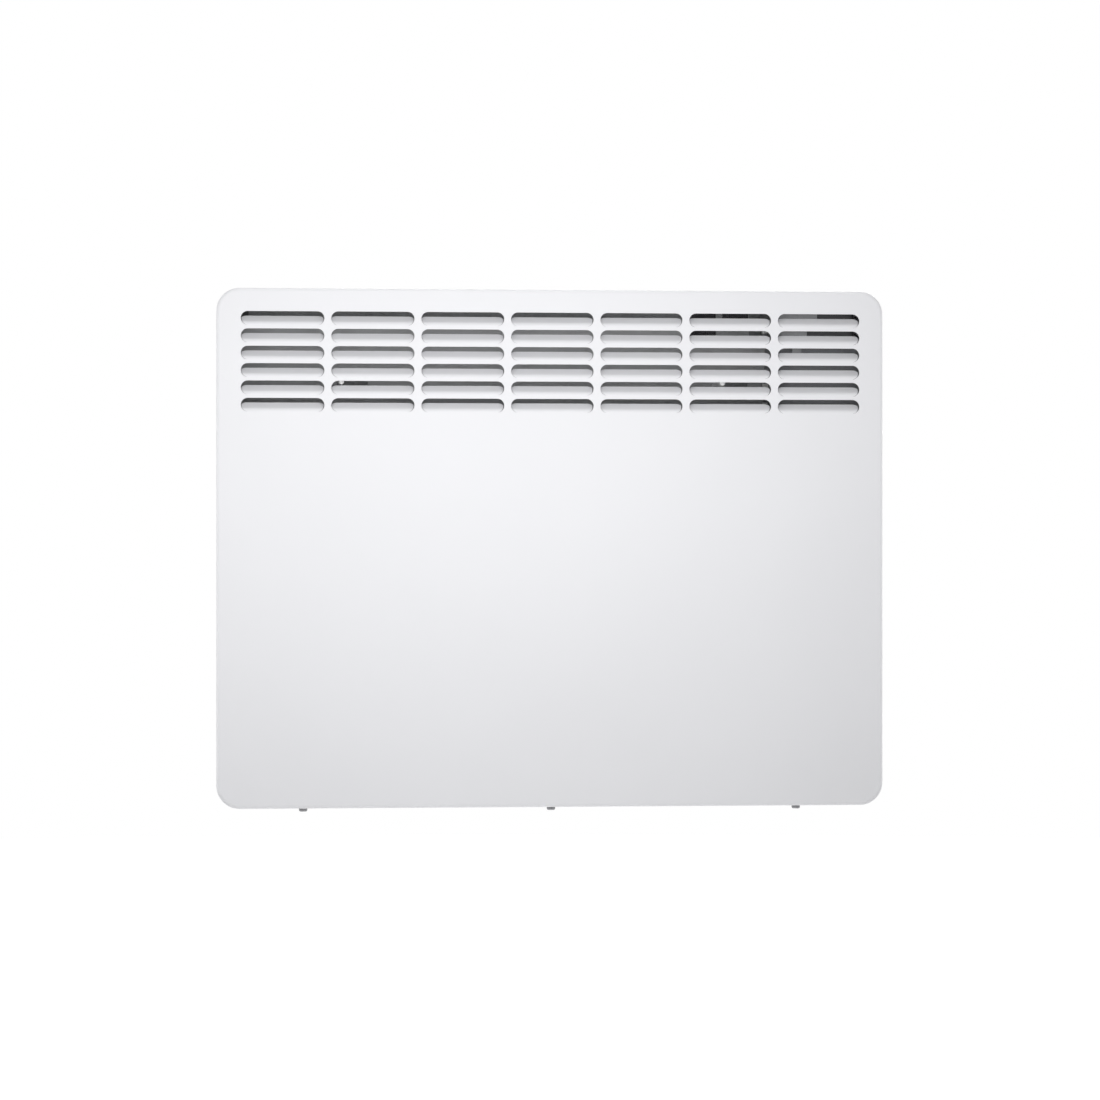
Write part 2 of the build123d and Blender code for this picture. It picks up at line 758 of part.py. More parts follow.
with BuildPart() as partition:
    add(end_plate(partition_x, -1))
    # a tab folded over behind the outlets, stepped back at each row, with a narrow tail
    with BuildSketch(off_wall(view_tab_off)):
        for row, width in enumerate(view_tab_widths):
            with Locations((partition_x, view_tab_top_z - row * row_pitch)):
                Rectangle(width, row_pitch, align=(Align.MIN, Align.MAX))
        with Locations((partition_x + view_tab_tail_shift, view_tab_top_z - 2 * row_pitch)):
            Rectangle(view_tab_tail_width, row_pitch, align=(Align.MIN, Align.MAX))
    extrude(amount=inner_sheet)
    with BuildSketch(across(cold_left_x)):
        with Locations((-cutout_off, cutout_z)):
            Circle(cutout_neck_diameter / 2 + running_clearance)
        with Locations(*[(-cutout_off, z) for z in cutout_ear_zs]):
            Circle(small_hole)
        with Locations(*[(-off, housing_boss_z) for off in housing_boss_offs]):
            Circle(small_hole)
        with Locations((-earth_off, earth_z)):
            Circle(small_hole)
        with Locations(*[(-cover_screw_off, z) for z in cover_screw_zs]):
            Circle(small_hole)
    extrude(amount=-inner_sheet, mode=Mode.SUBTRACT)
save(partition.part, "partition")

peg_xs = (-hook_window_x - peg_shifts[0], hook_window_x - peg_shifts[1])
peg_places = [(x, hook_window_z + peg_lift) for x in peg_xs]

with BuildPart() as rear_baffle:
    # upright behind the element, then leaning forward to turn the hot air out through the louvres
    with BuildSketch(across(hot_left_x)):
        with BuildLine():
            Polyline(
                (-baffle_off, baffle_low_z),
                (-baffle_off, baffle_bend_z),
                (-baffle_lip_off, baffle_top_z),
                (-baffle_lip_off - inner_sheet, baffle_top_z),
                (-baffle_off - inner_sheet, baffle_bend_z - inner_sheet / 2),
                (-baffle_off - inner_sheet, baffle_low_z),
                close=True,
            )
        make_face()
    extrude(amount=hot_right_x - hot_left_x)
    with BuildSketch(off_wall(baffle_off)):
        for flange_x in (hot_left_x + inner_sheet / 2, hot_right_x - inner_sheet / 2):
            with Locations((flange_x, baffle_low_z)):
                Rectangle(inner_sheet, baffle_bend_z - baffle_low_z, align=(Align.CENTER, Align.MIN))
    extrude(amount=flange_depth)
    # a notch in the upper right corner, and windows in front of the upper hooks with a peg beside each
    with BuildSketch(off_wall(baffle_off)):
        with Locations((hot_right_x, baffle_top_z)):
            Rectangle(baffle_notch_width, baffle_notch_depth, align=(Align.MAX, Align.MAX))
        with Locations(*[(side * hook_window_x, hook_window_z) for side in (-1, 1)]):
            Rectangle(hook_window_width, hook_window_height)
        with Locations(*peg_places):
            Circle(peg_diameter / 2 + running_clearance)
    extrude(amount=baffle_lip_off, mode=Mode.SUBTRACT)
save(rear_baffle.part, "rear_baffle")

with BuildPart() as baffle_pegs:
    # insulating pegs that keep the hot baffle off the casing
    with BuildSketch(off_wall(peg_seat_off - peg_tail)):
        with Locations(*peg_places):
            Circle(peg_diameter / 2)
    extrude(amount=peg_tail + peg_front_off - peg_seat_off)
    fillet(baffle_pegs.edges().group_by(Axis.Y)[0], peg_rounding)
save(baffle_pegs.part, "baffle_pegs")

with BuildPart() as board_cover:
    # a guard in front of the power board, screwed to the partition by its flange
    with BuildSketch(off_wall(cover_off)):
        with Locations((cold_left_x, cover_low_z)):
            Rectangle(cover_right_x - cold_left_x, cover_height, align=(Align.MIN, Align.MIN))
    extrude(amount=cover_sheet)
    with BuildSketch(across(cold_left_x)):
        with Locations((-cover_off, cover_low_z)):
            Rectangle(cover_flange, cover_height, align=(Align.MIN, Align.MIN))
        with Locations(*[(-cover_screw_off, z) for z in cover_screw_zs]):
            Circle(small_hole, mode=Mode.SUBTRACT)
    extrude(amount=cover_sheet)
save(board_cover.part, "board_cover")

with BuildPart() as front_shield:
    with BuildSketch(off_wall(shield_off)):
        with Locations(((hot_left_x + hot_right_x) / 2, shield_low_z)):
            Rectangle(hot_right_x - hot_left_x, shield_top_z - shield_low_z, align=(Align.CENTER, Align.MIN))
    extrude(amount=inner_sheet)
    with BuildSketch(off_wall(shield_off)):
        for flange_x in (hot_left_x + inner_sheet / 2, hot_right_x - inner_sheet / 2):
            with Locations((flange_x, shield_low_z)):
                Rectangle(inner_sheet, shield_top_z - shield_low_z, align=(Align.CENTER, Align.MIN))
    extrude(amount=-flange_depth)
    # its right flange is held by the board cover's lower screw
    with BuildSketch(across(hot_right_x)):
        with Locations((-cover_screw_off, cover_screw_zs[0])):
            Circle(small_hole)
    extrude(amount=-inner_sheet, mode=Mode.SUBTRACT)
save(front_shield.part, "front_shield")

# ==== heating element ====

wing_turns = (element_wing_angle, 180 - element_wing_angle, 180 + element_wing_angle, -element_wing_angle)
rib_places = [(element_wing - (i + 0.5) * element_rib_pitch, 0) for i in range(element_rib_count)]

with BuildPart() as element_fins:
    with BuildSketch(across(element_left_x)):
        with Locations((-element_off, element_z)):
            Circle(element_boss_diameter / 2)
        with Locations(*[Location((-element_off, element_z, 0), (0, 0, turn)) for turn in wing_turns]):
            Rectangle(element_wing, element_web, align=(Align.MIN, Align.CENTER))
            with Locations(*rib_places):
                Rectangle(element_rib_thickness, element_web + 2 * element_rib)
        with Locations((-element_off, element_z)):
            Circle(sheath_diameter / 2 + running_clearance, mode=Mode.SUBTRACT)
    extrude(amount=element_length)
save(element_fins.part, "element_fins")

with BuildPart() as element_sheath:
    with BuildSketch(across(sheath_left_x)):
        with Locations((-element_off, element_z)):
            Circle(sheath_diameter / 2)
    extrude(amount=sheath_right_x - sheath_left_x)
save(element_sheath.part, "element_sheath")

with BuildPart() as element_collars:
    left_seat = facing_left(left_plate_x - inner_sheet / 2, element_off, element_z)
    right_seat = facing_right(cold_left_x, element_off, element_z)
    with Locations(left_seat, right_seat):
        Cylinder(collar_head_diameter / 2, collar_head, align=(Align.CENTER, Align.CENTER, Align.MIN))
        Cylinder(collar_diameter / 2, collar_length, align=(Align.CENTER, Align.CENTER, Align.MAX))
        Cylinder(sheath_diameter / 2 + running_clearance, 3 * collar_length, mode=Mode.SUBTRACT)
    fillet(element_collars.faces().sort_by(Axis.X)[0].outer_wire().edges(), collar_head / 3)
    fillet(element_collars.faces().sort_by(Axis.X)[-1].outer_wire().edges(), collar_head / 3)
save(element_collars.part, "element_collars")

pin_places = [(-element_off - pin_spacing / 2, element_z), (-element_off + pin_spacing / 2, element_z)]

with BuildPart() as element_insulator:
    with BuildSketch(across(sheath_right_x)):
        with Locations((-element_off, element_z)):
            Circle(sheath_diameter / 2)
        with Locations(*pin_places):
            Circle(pin_diameter / 2 + running_clearance, mode=Mode.SUBTRACT)
    extrude(amount=insulator_thickness)
save(element_insulator.part, "element_insulator")

with BuildPart() as element_pins:
    with BuildSketch(across(sheath_right_x)):
        with Locations(*pin_places):
            Circle(pin_diameter / 2)
    extrude(amount=pin_length)
save(element_pins.part, "element_pins")

# ==== safety cut-out ====

cutout_seat = facing_right(cold_left_x, cutout_off, cutout_z)

with BuildPart() as thermal_cutout:
    with BuildSketch(across(cold_left_x)):
        with Locations((-cutout_off, cutout_z)):
            SlotOverall(cutout_ear_spacing + cutout_plate_width, cutout_plate_width, rotation=90)
        with Locations(*[(-cutout_off, z) for z in cutout_ear_zs]):
            Circle(small_hole, mode=Mode.SUBTRACT)
    extrude(amount=cutout_plate)
    with Locations(cutout_seat):
        Cylinder(
            cutout_diameter / 2, cutout_plate + cutout_height, align=(Align.CENTER, Align.CENTER, Align.MIN)
        )
        Cylinder(cutout_neck_diameter / 2, cutout_neck, align=(Align.CENTER, Align.CENTER, Align.MAX))
    fillet(thermal_cutout.edges().group_by(Axis.X)[-1], cutout_plate)
save(thermal_cutout.part, "thermal_cutout")

cutout_blade_offs = (cutout_off - blade_spacing / 2, cutout_off + blade_spacing / 2)

with BuildPart() as cutout_terminals:
    with BuildSketch(across(cutout_blade_x)):
        with Locations(*[(-off, cutout_z) for off in cutout_blade_offs]):
            Rectangle(blade_thickness, blade_width)
    extrude(amount=blade_length)
save(cutout_terminals.part, "cutout_terminals")

# ==== control unit ====

display_posts = [(control_x + side * display_post_x, -control_off + display_post_y) for side in (-1, 1)]
display_posts += [(control_x + side * button_pitch, -button_off) for side in (-1, 1)]
button_xs = [control_x + (i - 1.5) * button_pitch for i in range(4)]
ribbon_slot_depth = ribbon_thickness + 2 * board_gap

with BuildPart() as control_housing:
    with BuildSketch(Plane.XY.offset(housing_low_z)):
        with Locations((control_x, -control_off)):
            RectangleRounded(housing_width, housing_depth, fascia_radius - housing_margin)
    extrude(amount=housing_height)
    with BuildSketch(Plane.XY.offset(housing_low_z + housing_wall)):
        with Locations((control_x, -control_off)):
            RectangleRounded(
                housing_width - 2 * housing_wall,
                housing_depth - 2 * housing_wall,
                fascia_radius - housing_margin - housing_wall,
            )
    extrude(amount=housing_height, mode=Mode.SUBTRACT)
    # posts under the display board
    with BuildSketch(Plane.XY.offset(housing_low_z)):
        with Locations(*display_posts):
            Circle(post_diameter / 2)
    extrude(amount=display_board_low_z - housing_low_z)
    with BuildSketch(Plane.XY.offset(display_board_low_z)):
        with Locations(*display_posts):
            Circle(small_hole)
    extrude(amount=-small_screw_length, mode=Mode.SUBTRACT)
    # slot for the ribbon cable in the floor
    with BuildSketch(Plane.XY.offset(housing_low_z)):
        with Locations((control_x, -ribbon_off)):
            Rectangle(ribbon_width + 2 * board_gap, ribbon_slot_depth)
    extrude(amount=housing_wall, mode=Mode.SUBTRACT)
    # bosses that reach the partition
    with BuildSketch(across(cold_left_x)):
        with Locations(*[(-off, housing_boss_z) for off in housing_boss_offs]):
            Circle(post_diameter / 2 + housing_wall / 2)
    extrude(amount=housing_left_x + housing_wall - cold_left_x)
    with BuildSketch(across(cold_left_x)):
        with Locations(*[(-off, housing_boss_z) for off in housing_boss_offs]):
            Circle(small_hole)
    extrude(amount=small_screw_length, mode=Mode.SUBTRACT)
save(control_housing.part, "control_housing")

with BuildPart() as control_fascia:
    with BuildSketch(Plane.XY.offset(fascia_low_z)):
        with Locations((control_x, -control_off)):
            RectangleRounded(fascia_width, fascia_depth, fascia_radius)
    extrude(amount=fascia_flange)
    # the raised middle that fills the aperture in the casing
    with BuildSketch(Plane.XY.offset(top_inner_z)):
        with Locations((control_x, -control_off)):
            RectangleRounded(
                aperture_width - 2 * running_clearance,
                aperture_depth - 2 * running_clearance,
                aperture_radius - running_clearance,
            )
    extrude(amount=fascia_boss)
    fillet(control_fascia.edges().group_by(Axis.Z)[-1], fascia_boss / 4)
    # a rim that plugs into the housing
    rim_width = housing_width - 2 * housing_wall - 2 * running_clearance
    rim_depth = housing_depth - 2 * housing_wall - 2 * running_clearance
    rim_radius = fascia_radius - housing_margin - housing_wall - running_clearance
    with BuildSketch(Plane.XY.offset(fascia_low_z)):
        with Locations((control_x, -control_off)):
            RectangleRounded(rim_width, rim_depth, rim_radius)
            RectangleRounded(
                rim_width - 2 * fascia_rim_wall,
                rim_depth - 2 * fascia_rim_wall,
                rim_radius - fascia_rim_wall,
                mode=Mode.SUBTRACT,
            )
    extrude(amount=-fascia_rim)
    # window with a ledge for the lens, and the button holes
    with BuildSketch(Plane.XY.offset(fascia_top_z)):
        with Locations((control_x, -lens_off)):
            Rectangle(lens_width, lens_depth)
    extrude(amount=-lens_thickness, mode=Mode.SUBTRACT)
    with BuildSketch(Plane.XY.offset(fascia_top_z)):
        with Locations((control_x, -lens_off)):
            Rectangle(lens_width - 2 * lens_ledge, lens_depth - 2 * lens_ledge)
        with Locations(*[(x, -button_off) for x in button_xs]):
            RectangleRounded(
                button_width + 2 * clearance, button_depth + 2 * clearance, button_radius + clearance
            )
    extrude(amount=-fascia_boss - 2 * fascia_flange, mode=Mode.SUBTRACT)
save(control_fascia.part, "control_fascia")

with BuildPart() as display_lens:
    with BuildSketch(Plane.XY.offset(fascia_top_z - lens_thickness)):
        with Locations((control_x, -lens_off)):
            Rectangle(lens_width - 2 * running_clearance, lens_depth - 2 * running_clearance)
    extrude(amount=lens_thickness)
    fillet(display_lens.edges().group_by(Axis.Z)[-1], lens_thickness / 4)
save(display_lens.part, "display_lens")

with BuildPart() as display_board:
    with BuildSketch(Plane.XY.offset(display_board_low_z)):
        with Locations((control_x, -control_off)):
            Rectangle(display_board_width, display_board_depth)
        with Locations(*display_posts):
            Circle(small_hole, mode=Mode.SUBTRACT)
    extrude(amount=board_thickness)
save(display_board.part, "display_board")

with BuildPart() as display_panel:
    with BuildSketch(Plane.XY.offset(display_board_top_z)):
        with Locations((control_x, -lens_off)):
            Rectangle(lens_width - 2 * lens_ledge, lens_depth - lens_ledge)
    extrude(amount=display_panel_thickness)
    fillet(display_panel.edges().group_by(Axis.Z)[-1], display_panel_thickness / 6)
save(display_panel.part, "display_panel")

with BuildPart() as button_contacts:
    with BuildSketch(Plane.XY.offset(display_board_top_z)):
        with Locations(*[(x, -button_off) for x in button_xs]):
            Rectangle(contact_size, contact_size)
    extrude(amount=contact_top_z - plunger_height - display_board_top_z)
    with BuildSketch(Plane.XY.offset(contact_top_z - plunger_height)):
        with Locations(*[(x, -button_off) for x in button_xs]):
            Circle(plunger_diameter / 2)
    extrude(amount=plunger_height)
save(button_contacts.part, "button_contacts")

for button_x, button_name in zip(button_xs, ("button_menu", "button_minus", "button_plus", "button_ok")):
    with BuildPart() as button:
        with BuildSketch(Plane.XY.offset(button_flange_top_z)):
            with Locations((button_x, -button_off)):
                RectangleRounded(button_width, button_depth, button_radius)
        extrude(amount=button_top_z - button_flange_top_z)
        fillet(button.edges().group_by(Axis.Z)[-1], button_proud)
        with BuildSketch(Plane.XY.offset(button_low_z)):
            with Locations((button_x, -button_off)):
                RectangleRounded(
                    button_width + 2 * button_flange, button_depth + 2 * button_flange, button_radius
                )
        extrude(amount=button_flange)
    save(button.part, button_name)

# ==== power board ====

power_posts = [
    (power_board_x + i * power_post_x, power_board_z + j * power_post_z) for i in (-1, 1) for j in (-1, 1)
]

with BuildPart() as power_board:
    with BuildSketch(off_wall(power_board_off)):
        with Locations((power_board_x, power_board_z)):
            Rectangle(power_board_width, power_board_height)
        with Locations(*power_posts):
            Circle(small_hole, mode=Mode.SUBTRACT)
    extrude(amount=board_thickness)
save(power_board.part, "power_board")

with BuildPart() as board_standoffs:
    with BuildSketch(off_wall(rear_inner_off)):
        with Locations(*power_posts):
            RegularPolygon(post_diameter / 2, 6)
    extrude(amount=power_board_off - rear_inner_off)
    with BuildSketch(off_wall(power_board_off)):
        with Locations(*power_posts):
            Circle(small_hole)
    extrude(amount=-small_screw_length, mode=Mode.SUBTRACT)
save(board_standoffs.part, "board_standoffs")

with BuildPart() as board_screws:
    with Locations(*[facing_front(x, board_front_off, z) for x, z in power_posts]):
        add(small_screw)
    with Locations(*[Location((x, y, display_board_top_z)) for x, y in display_posts]):
        add(small_screw)
save(board_screws.part, "board_screws")

with BuildPart() as board_connectors:
    # mains header along the lower edge, cut-out header and ribbon socket near the upper one
    with BuildSketch(off_wall(board_front_off)):
        with Locations((power_board_x, header_low_z)):
            Rectangle(header_poles * header_pitch, header_height, align=(Align.CENTER, Align.MIN))
        with Locations((top_header_x, ribbon_socket_top_z)):
            Rectangle(top_header_width, header_height, align=(Align.CENTER, Align.MAX))
    extrude(amount=header_depth)
    with BuildSketch(off_wall(board_front_off + header_depth)):
        with Locations(*[(x, header_low_z + header_height / 2) for x in header_xs]):
            Circle(block_screw_diameter / 2)
    extrude(amount=-board_thickness, mode=Mode.SUBTRACT)
    with BuildSketch(off_wall(board_front_off)):
        with Locations((control_x, ribbon_socket_top_z)):
            Rectangle(ribbon_socket_width, ribbon_socket_height, align=(Align.CENTER, Align.MAX))
    extrude(amount=ribbon_socket_height)
save(board_connectors.part, "board_connectors")

with BuildPart() as relay:
    with BuildSketch(off_wall(board_front_off)):
        with Locations((relay_x, relay_z)):
            Rectangle(relay_width, relay_height)
    extrude(amount=relay_depth)
    fillet(relay.edges().group_by(Axis.Y)[0], board_thickness / 2)
save(relay.part, "relay")

with BuildPart() as transformer:
    with BuildSketch(off_wall(board_front_off)):
        with Locations((transformer_x, transformer_z)):
            Rectangle(transformer_width, transformer_height)
    extrude(amount=transformer_depth)
    chamfer(transformer.edges().group_by(Axis.Y)[0], board_thickness)
save(transformer.part, "transformer")

with BuildPart() as filter_capacitor:
    with BuildSketch(off_wall(board_front_off)):
        with Locations((capacitor_x, capacitor_z)):
            Rectangle(capacitor_width, capacitor_height)
    extrude(amount=capacitor_depth)
    fillet(filter_capacitor.edges().filter_by(Axis.Y), board_thickness / 2)
save(filter_capacitor.part, "filter_capacitor")

# ==== mains switch ====

rocker_profile_off = rocker_height - rocker_dip
well_half = rocker_half_length + 3 * clearance

with BuildPart() as switch_rocker:
    # a shallow V hanging from its pivot, resting tilted to one side
    with BuildSketch(across(switch_x - rocker_width / 2)):
        with Locations(Location((-switch_off, rocker_pivot_z, 0), (0, 0, rocker_tilt))):
            Polygon(
                (-rocker_half_length, -rocker_height),
                (0, -rocker_profile_off),
                (rocker_half_length, -rocker_height),
                (rocker_half_length, -rocker_dip),
                (rocker_root, rocker_root),
                (-rocker_root, rocker_root),
                (-rocker_half_length, -rocker_dip),
                align=None,
            )
    extrude(amount=rocker_width)
    with BuildSketch(across(switch_x - rocker_width / 2 - rocker_pin_length)):
        with Locations((-switch_off, rocker_pivot_z)):
            Circle(rocker_pin_diameter / 2)
    extrude(amount=rocker_width + 2 * rocker_pin_length)
save(switch_rocker.part, "switch_rocker")

with BuildPart() as switch_body:
    with BuildSketch(Plane.XY.offset(switch_face_z)):
        with Locations((switch_x, -switch_off)):
            RectangleRounded(switch_bezel_width, switch_bezel_length, switch_bezel / 2)
    extrude(amount=switch_bezel)
    fillet(switch_body.edges().group_by(Axis.Z)[0], switch_bezel / 4)
    with BuildSketch(Plane.XY.offset(base_low_z)):
        with Locations((switch_x, -switch_off)):
            Rectangle(switch_body_width, switch_body_length)
    extrude(amount=switch_body_depth)
    # well for the rocker, open below, with sockets for its pins
    with BuildSketch(Plane.XY.offset(switch_face_z)):
        with Locations((switch_x, -switch_off)):
            Rectangle(rocker_width + 2 * clearance, 2 * well_half)
    extrude(amount=rocker_pivot_depth + rocker_root * 2, mode=Mode.SUBTRACT)
    with BuildSketch(across(switch_x - rocker_width / 2 - rocker_pin_length - clearance)):
        with Locations((-switch_off, rocker_pivot_z)):
            Circle(rocker_pin_diameter / 2 + running_clearance)
    extrude(amount=rocker_width + 2 * rocker_pin_length + 2 * clearance, mode=Mode.SUBTRACT)
save(switch_body.part, "switch_body")

switch_blade_offs = (switch_off - blade_spacing / 2, switch_off + blade_spacing / 2)

with BuildPart() as switch_terminals:
    with BuildSketch(Plane.XY.offset(switch_top_z)):
        with Locations(*[(switch_x, -off) for off in switch_blade_offs]):
            Rectangle(blade_width, blade_thickness)
    extrude(amount=blade_length)
save(switch_terminals.part, "switch_terminals")

# ==== supply inlet and terminal block ====

with BuildPart() as cable_gland:
    with BuildSketch(off_wall(wall_gap)):
        with Locations((inlet_x, inlet_z)):
            RegularPolygon(inlet_head_diameter / 2, 6)
    extrude(amount=-inlet_head / 2)
    with BuildSketch(off_wall(wall_gap - inlet_head / 2)):
        with Locations((inlet_x, inlet_z)):
            Circle(inlet_thread / 2 + rear_sheet)
    extrude(amount=-inlet_head / 2)
    fillet(cable_gland.edges().group_by(Axis.Y)[-1], inlet_rounding)
    with BuildSketch(off_wall(wall_gap)):
        with Locations((inlet_x, inlet_z)):
            Circle(inlet_thread / 2)
    extrude(amount=inlet_thread_length)
    with BuildSketch(off_wall(wall_gap - inlet_head)):
        with Locations((inlet_x, inlet_z)):
            Circle(inlet_bore / 2)
    extrude(amount=inlet_head + inlet_thread_length, mode=Mode.SUBTRACT)
save(cable_gland.part, "cable_gland")

with BuildPart() as gland_nut:
    with BuildSketch(off_wall(rear_inner_off)):
        with Locations((inlet_x, inlet_z)):
            RegularPolygon(inlet_head_diameter / 2, 6)
            Circle(inlet_thread / 2 + running_clearance, mode=Mode.SUBTRACT)
    extrude(amount=inlet_nut)
    chamfer(gland_nut.edges().group_by(Axis.Y)[0].filter_by(GeomType.LINE), inlet_chamfer)
save(gland_nut.part, "gland_nut")

block_width = block_poles * block_pole_pitch
block_screw_places = [(x, block_z + i * block_screw_spacing / 2) for x in block_xs for i in (-1, 1)]
block_seat_off = rear_inner_off + block_depth - block_screw_well

with BuildPart() as terminal_block:
    with BuildSketch(off_wall(rear_inner_off)):
        with Locations((block_x, block_z)):
            Rectangle(block_width, block_height)
    extrude(amount=block_depth)
    fillet(terminal_block.edges().filter_by(Axis.Y), board_thickness)
    # screw wells in the front, and valleys between the poles
    with BuildSketch(off_wall(rear_inner_off + block_depth)):
        with Locations(*block_screw_places):
            Circle(block_screw_diameter / 2 + running_clearance)
    extrude(amount=-block_screw_well, mode=Mode.SUBTRACT)
    with BuildSketch(off_wall(rear_inner_off + block_depth)):
        with Locations(*[(x + block_pole_pitch / 2, block_z) for x in block_xs[:-1]]):
            Rectangle(board_thickness, block_height)
    extrude(amount=-block_valley, mode=Mode.SUBTRACT)
save(terminal_block.part, "terminal_block")

with BuildPart() as terminal_screws:
    with BuildSketch(off_wall(block_seat_off)):
        with Locations(*block_screw_places):
            Circle(block_screw_diameter / 2)
    extrude(amount=small_screw_head_height)
    with BuildSketch(off_wall(block_seat_off + small_screw_head_height)):
        with Locations(*block_screw_places):
            Rectangle(2 * block_screw_diameter, blade_thickness)
    extrude(amount=-small_screw_head_height / 2, mode=Mode.SUBTRACT)
save(terminal_screws.part, "terminal_screws")

with BuildPart() as chassis_screws:
    # for the cut-out's ears, the board cover, the control housing, and the earth lead
    with Locations(*[facing_right(cold_left_x + cutout_plate, cutout_off, z) for z in cutout_ear_zs]):
        add(small_screw)
    with Locations(*[facing_right(cold_left_x + cover_sheet, cover_screw_off, z) for z in cover_screw_zs]):
        add(small_screw)
    with Locations(*[facing_left(hot_right_x, off, housing_boss_z) for off in housing_boss_offs]):
        add(small_screw)
    with Locations(facing_right(cold_left_x, earth_off, earth_z)):
        add(small_screw)
save(chassis_screws.part, "chassis_screws")

# ==== room sensor ====

with BuildPart() as sensor_clip:
    with BuildSketch(Plane.XY.offset(sensor_z)):
        with Locations((sensor_x, -sensor_off)):
            RectangleRounded(clip_size, clip_depth, clip_radius)
            Circle(sensor_diameter / 2 + running_clearance, mode=Mode.SUBTRACT)
    extrude(amount=clip_size)
save(sensor_clip.part, "sensor_clip")

with BuildPart() as room_sensor:
    with BuildSketch(Plane.XY.offset(sensor_top_z)):
        with Locations((sensor_x, -sensor_off)):
            Circle(sensor_diameter / 2)
    extrude(amount=-sensor_length)
    fillet(room_sensor.edges().group_by(Axis.Z)[0], sensor_tip_radius)
save(room_sensor.part, "room_sensor")

# ==== leads held inside ====

pin_offs = (element_off - pin_spacing / 2, element_off + pin_spacing / 2)
lead_column_x = pin_end_x + 4 * lead_diameter
live_swing_x = switch_x + 5 * lead_diameter
return_off = cutout_blade_offs[1] + blade_spacing

with BuildPart() as neutral_wire:
    # terminal block to power board
    add(
        lead(
            [
                (block_xs[1], block_entry_off, block_top_z),
                (block_xs[1], block_entry_off, block_top_z + 2 * lead_run),
                (header_xs[2], header_off, block_top_z + 3 * lead_run),
                (header_xs[2], header_off, header_low_z),
            ],
            lead_diameter,
        )
    )
save(neutral_wire.part, "neutral_wire")

with BuildPart() as live_wire:
    # terminal block to mains switch
    add(
        lead(
            [
                (block_xs[2], block_entry_off, block_top_z),
                (block_xs[2], block_entry_off, block_top_z + lead_run),
                (live_swing_x, switch_off, block_top_z + lead_run),
                (live_swing_x, switch_off, switch_blade_z + 2 * lead_run),
                (switch_x, switch_blade_offs[1], switch_blade_z + lead_run),
                (switch_x, switch_blade_offs[1], switch_blade_z),
            ],
            lead_diameter,
        )
    )
save(live_wire.part, "live_wire")

with BuildPart() as switched_wire:
    # mains switch to power board
    add(
        lead(
            [
                (switch_x, switch_blade_offs[0], switch_blade_z),
                (switch_x, switch_blade_offs[0], switch_blade_z + lead_run),
                (header_xs[4], header_off, switch_blade_z + 3 * lead_run),
                (header_xs[4], header_off, header_low_z),
            ],
            lead_diameter,
        )
    )
save(switched_wire.part, "switched_wire")

with BuildPart() as element_wire:
    # element pin to power board
    add(
        lead(
            [
                (pin_end_x, pin_offs[0], element_z),
                (lead_column_x, pin_offs[0], element_z),
                (lead_column_x, pin_offs[0], header_low_z - 3 * lead_run),
                (header_xs[1], header_off, header_low_z - 2 * lead_run),
                (header_xs[1], header_off, header_low_z),
            ],
            lead_diameter,
        )
    )
save(element_wire.part, "element_wire")

with BuildPart() as cutout_wires:
    # power board to cut-out, and cut-out to the other element pin
    add(
        lead(
            [
                (cutout_blade_x + blade_length, cutout_blade_offs[0], cutout_z),
                (top_header_x, cutout_blade_offs[0], cutout_z),
                (top_header_x, header_off, ribbon_socket_top_z + lead_run),
                (top_header_x, header_off, ribbon_socket_top_z),
            ],
            lead_diameter,
        )
    )
    add(
        lead(
            [
                (cutout_blade_x + blade_length, cutout_blade_offs[1], cutout_z),
                (lead_column_x + 2 * lead_diameter, cutout_blade_offs[1], cutout_z),
                (lead_column_x + 2 * lead_diameter, return_off, cutout_z - lead_run),
                (lead_column_x, return_off, element_z + 3 * lead_run),
                (lead_column_x, pin_offs[1], element_z + 2 * lead_run),
                (lead_column_x, pin_offs[1], element_z),
                (pin_end_x, pin_offs[1], element_z),
            ],
            lead_diameter,
        )
    )
save(cutout_wires.part, "cutout_wires")

with BuildPart() as sensor_wire:
    # room sensor to power board
    add(
        lead(
            [
                (sensor_x, sensor_off, sensor_top_z),
                (sensor_x, sensor_off, sensor_top_z + 2 * lead_run),
                (sensor_x + clip_size, sensor_off + 2 * lead_diameter, element_z + 3 * lead_run),
                (header_xs[3], header_off + lead_run, header_low_z - 3 * lead_run),
                (header_xs[3], header_off, header_low_z - 2 * lead_run),
                (header_xs[3], header_off, header_low_z),
            ],
            sensor_lead_diameter,
        )
    )
save(sensor_wire.part, "sensor_wire")

with BuildPart() as earth_wire:
    # terminal block to the earth screw on the partition
    add(
        lead(
            [
                (block_xs[0], block_entry_off, block_top_z),
                (block_xs[0], block_entry_off, block_top_z + lead_run),
                (block_xs[0] - lead_run, earth_off, earth_z),
                (cold_left_x + small_screw_head_height, earth_off, earth_z),
            ],
            lead_diameter,
        )
    )
save(earth_wire.part, "earth_wire")

with BuildPart() as ribbon_cable:
    # display board to power board
    with BuildSketch(Plane.XY.offset(ribbon_socket_top_z)):
        with Locations((control_x, -ribbon_off)):
            Rectangle(ribbon_width, ribbon_thickness)
    extrude(amount=display_board_low_z - ribbon_socket_top_z)
save(ribbon_cable.part, "ribbon_cable")
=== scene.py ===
"""Dresses the wall panel convector heater: its finishes, its small fittings, and a plain pale studio.

Run it as a script. Every size is in metres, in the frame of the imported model: X to the right,
Z up, and the wall at Y = 0.
"""

import math

import bpy
from bpy.props import FloatProperty, FloatVectorProperty, IntProperty, PointerProperty
from mathutils import Matrix, Vector


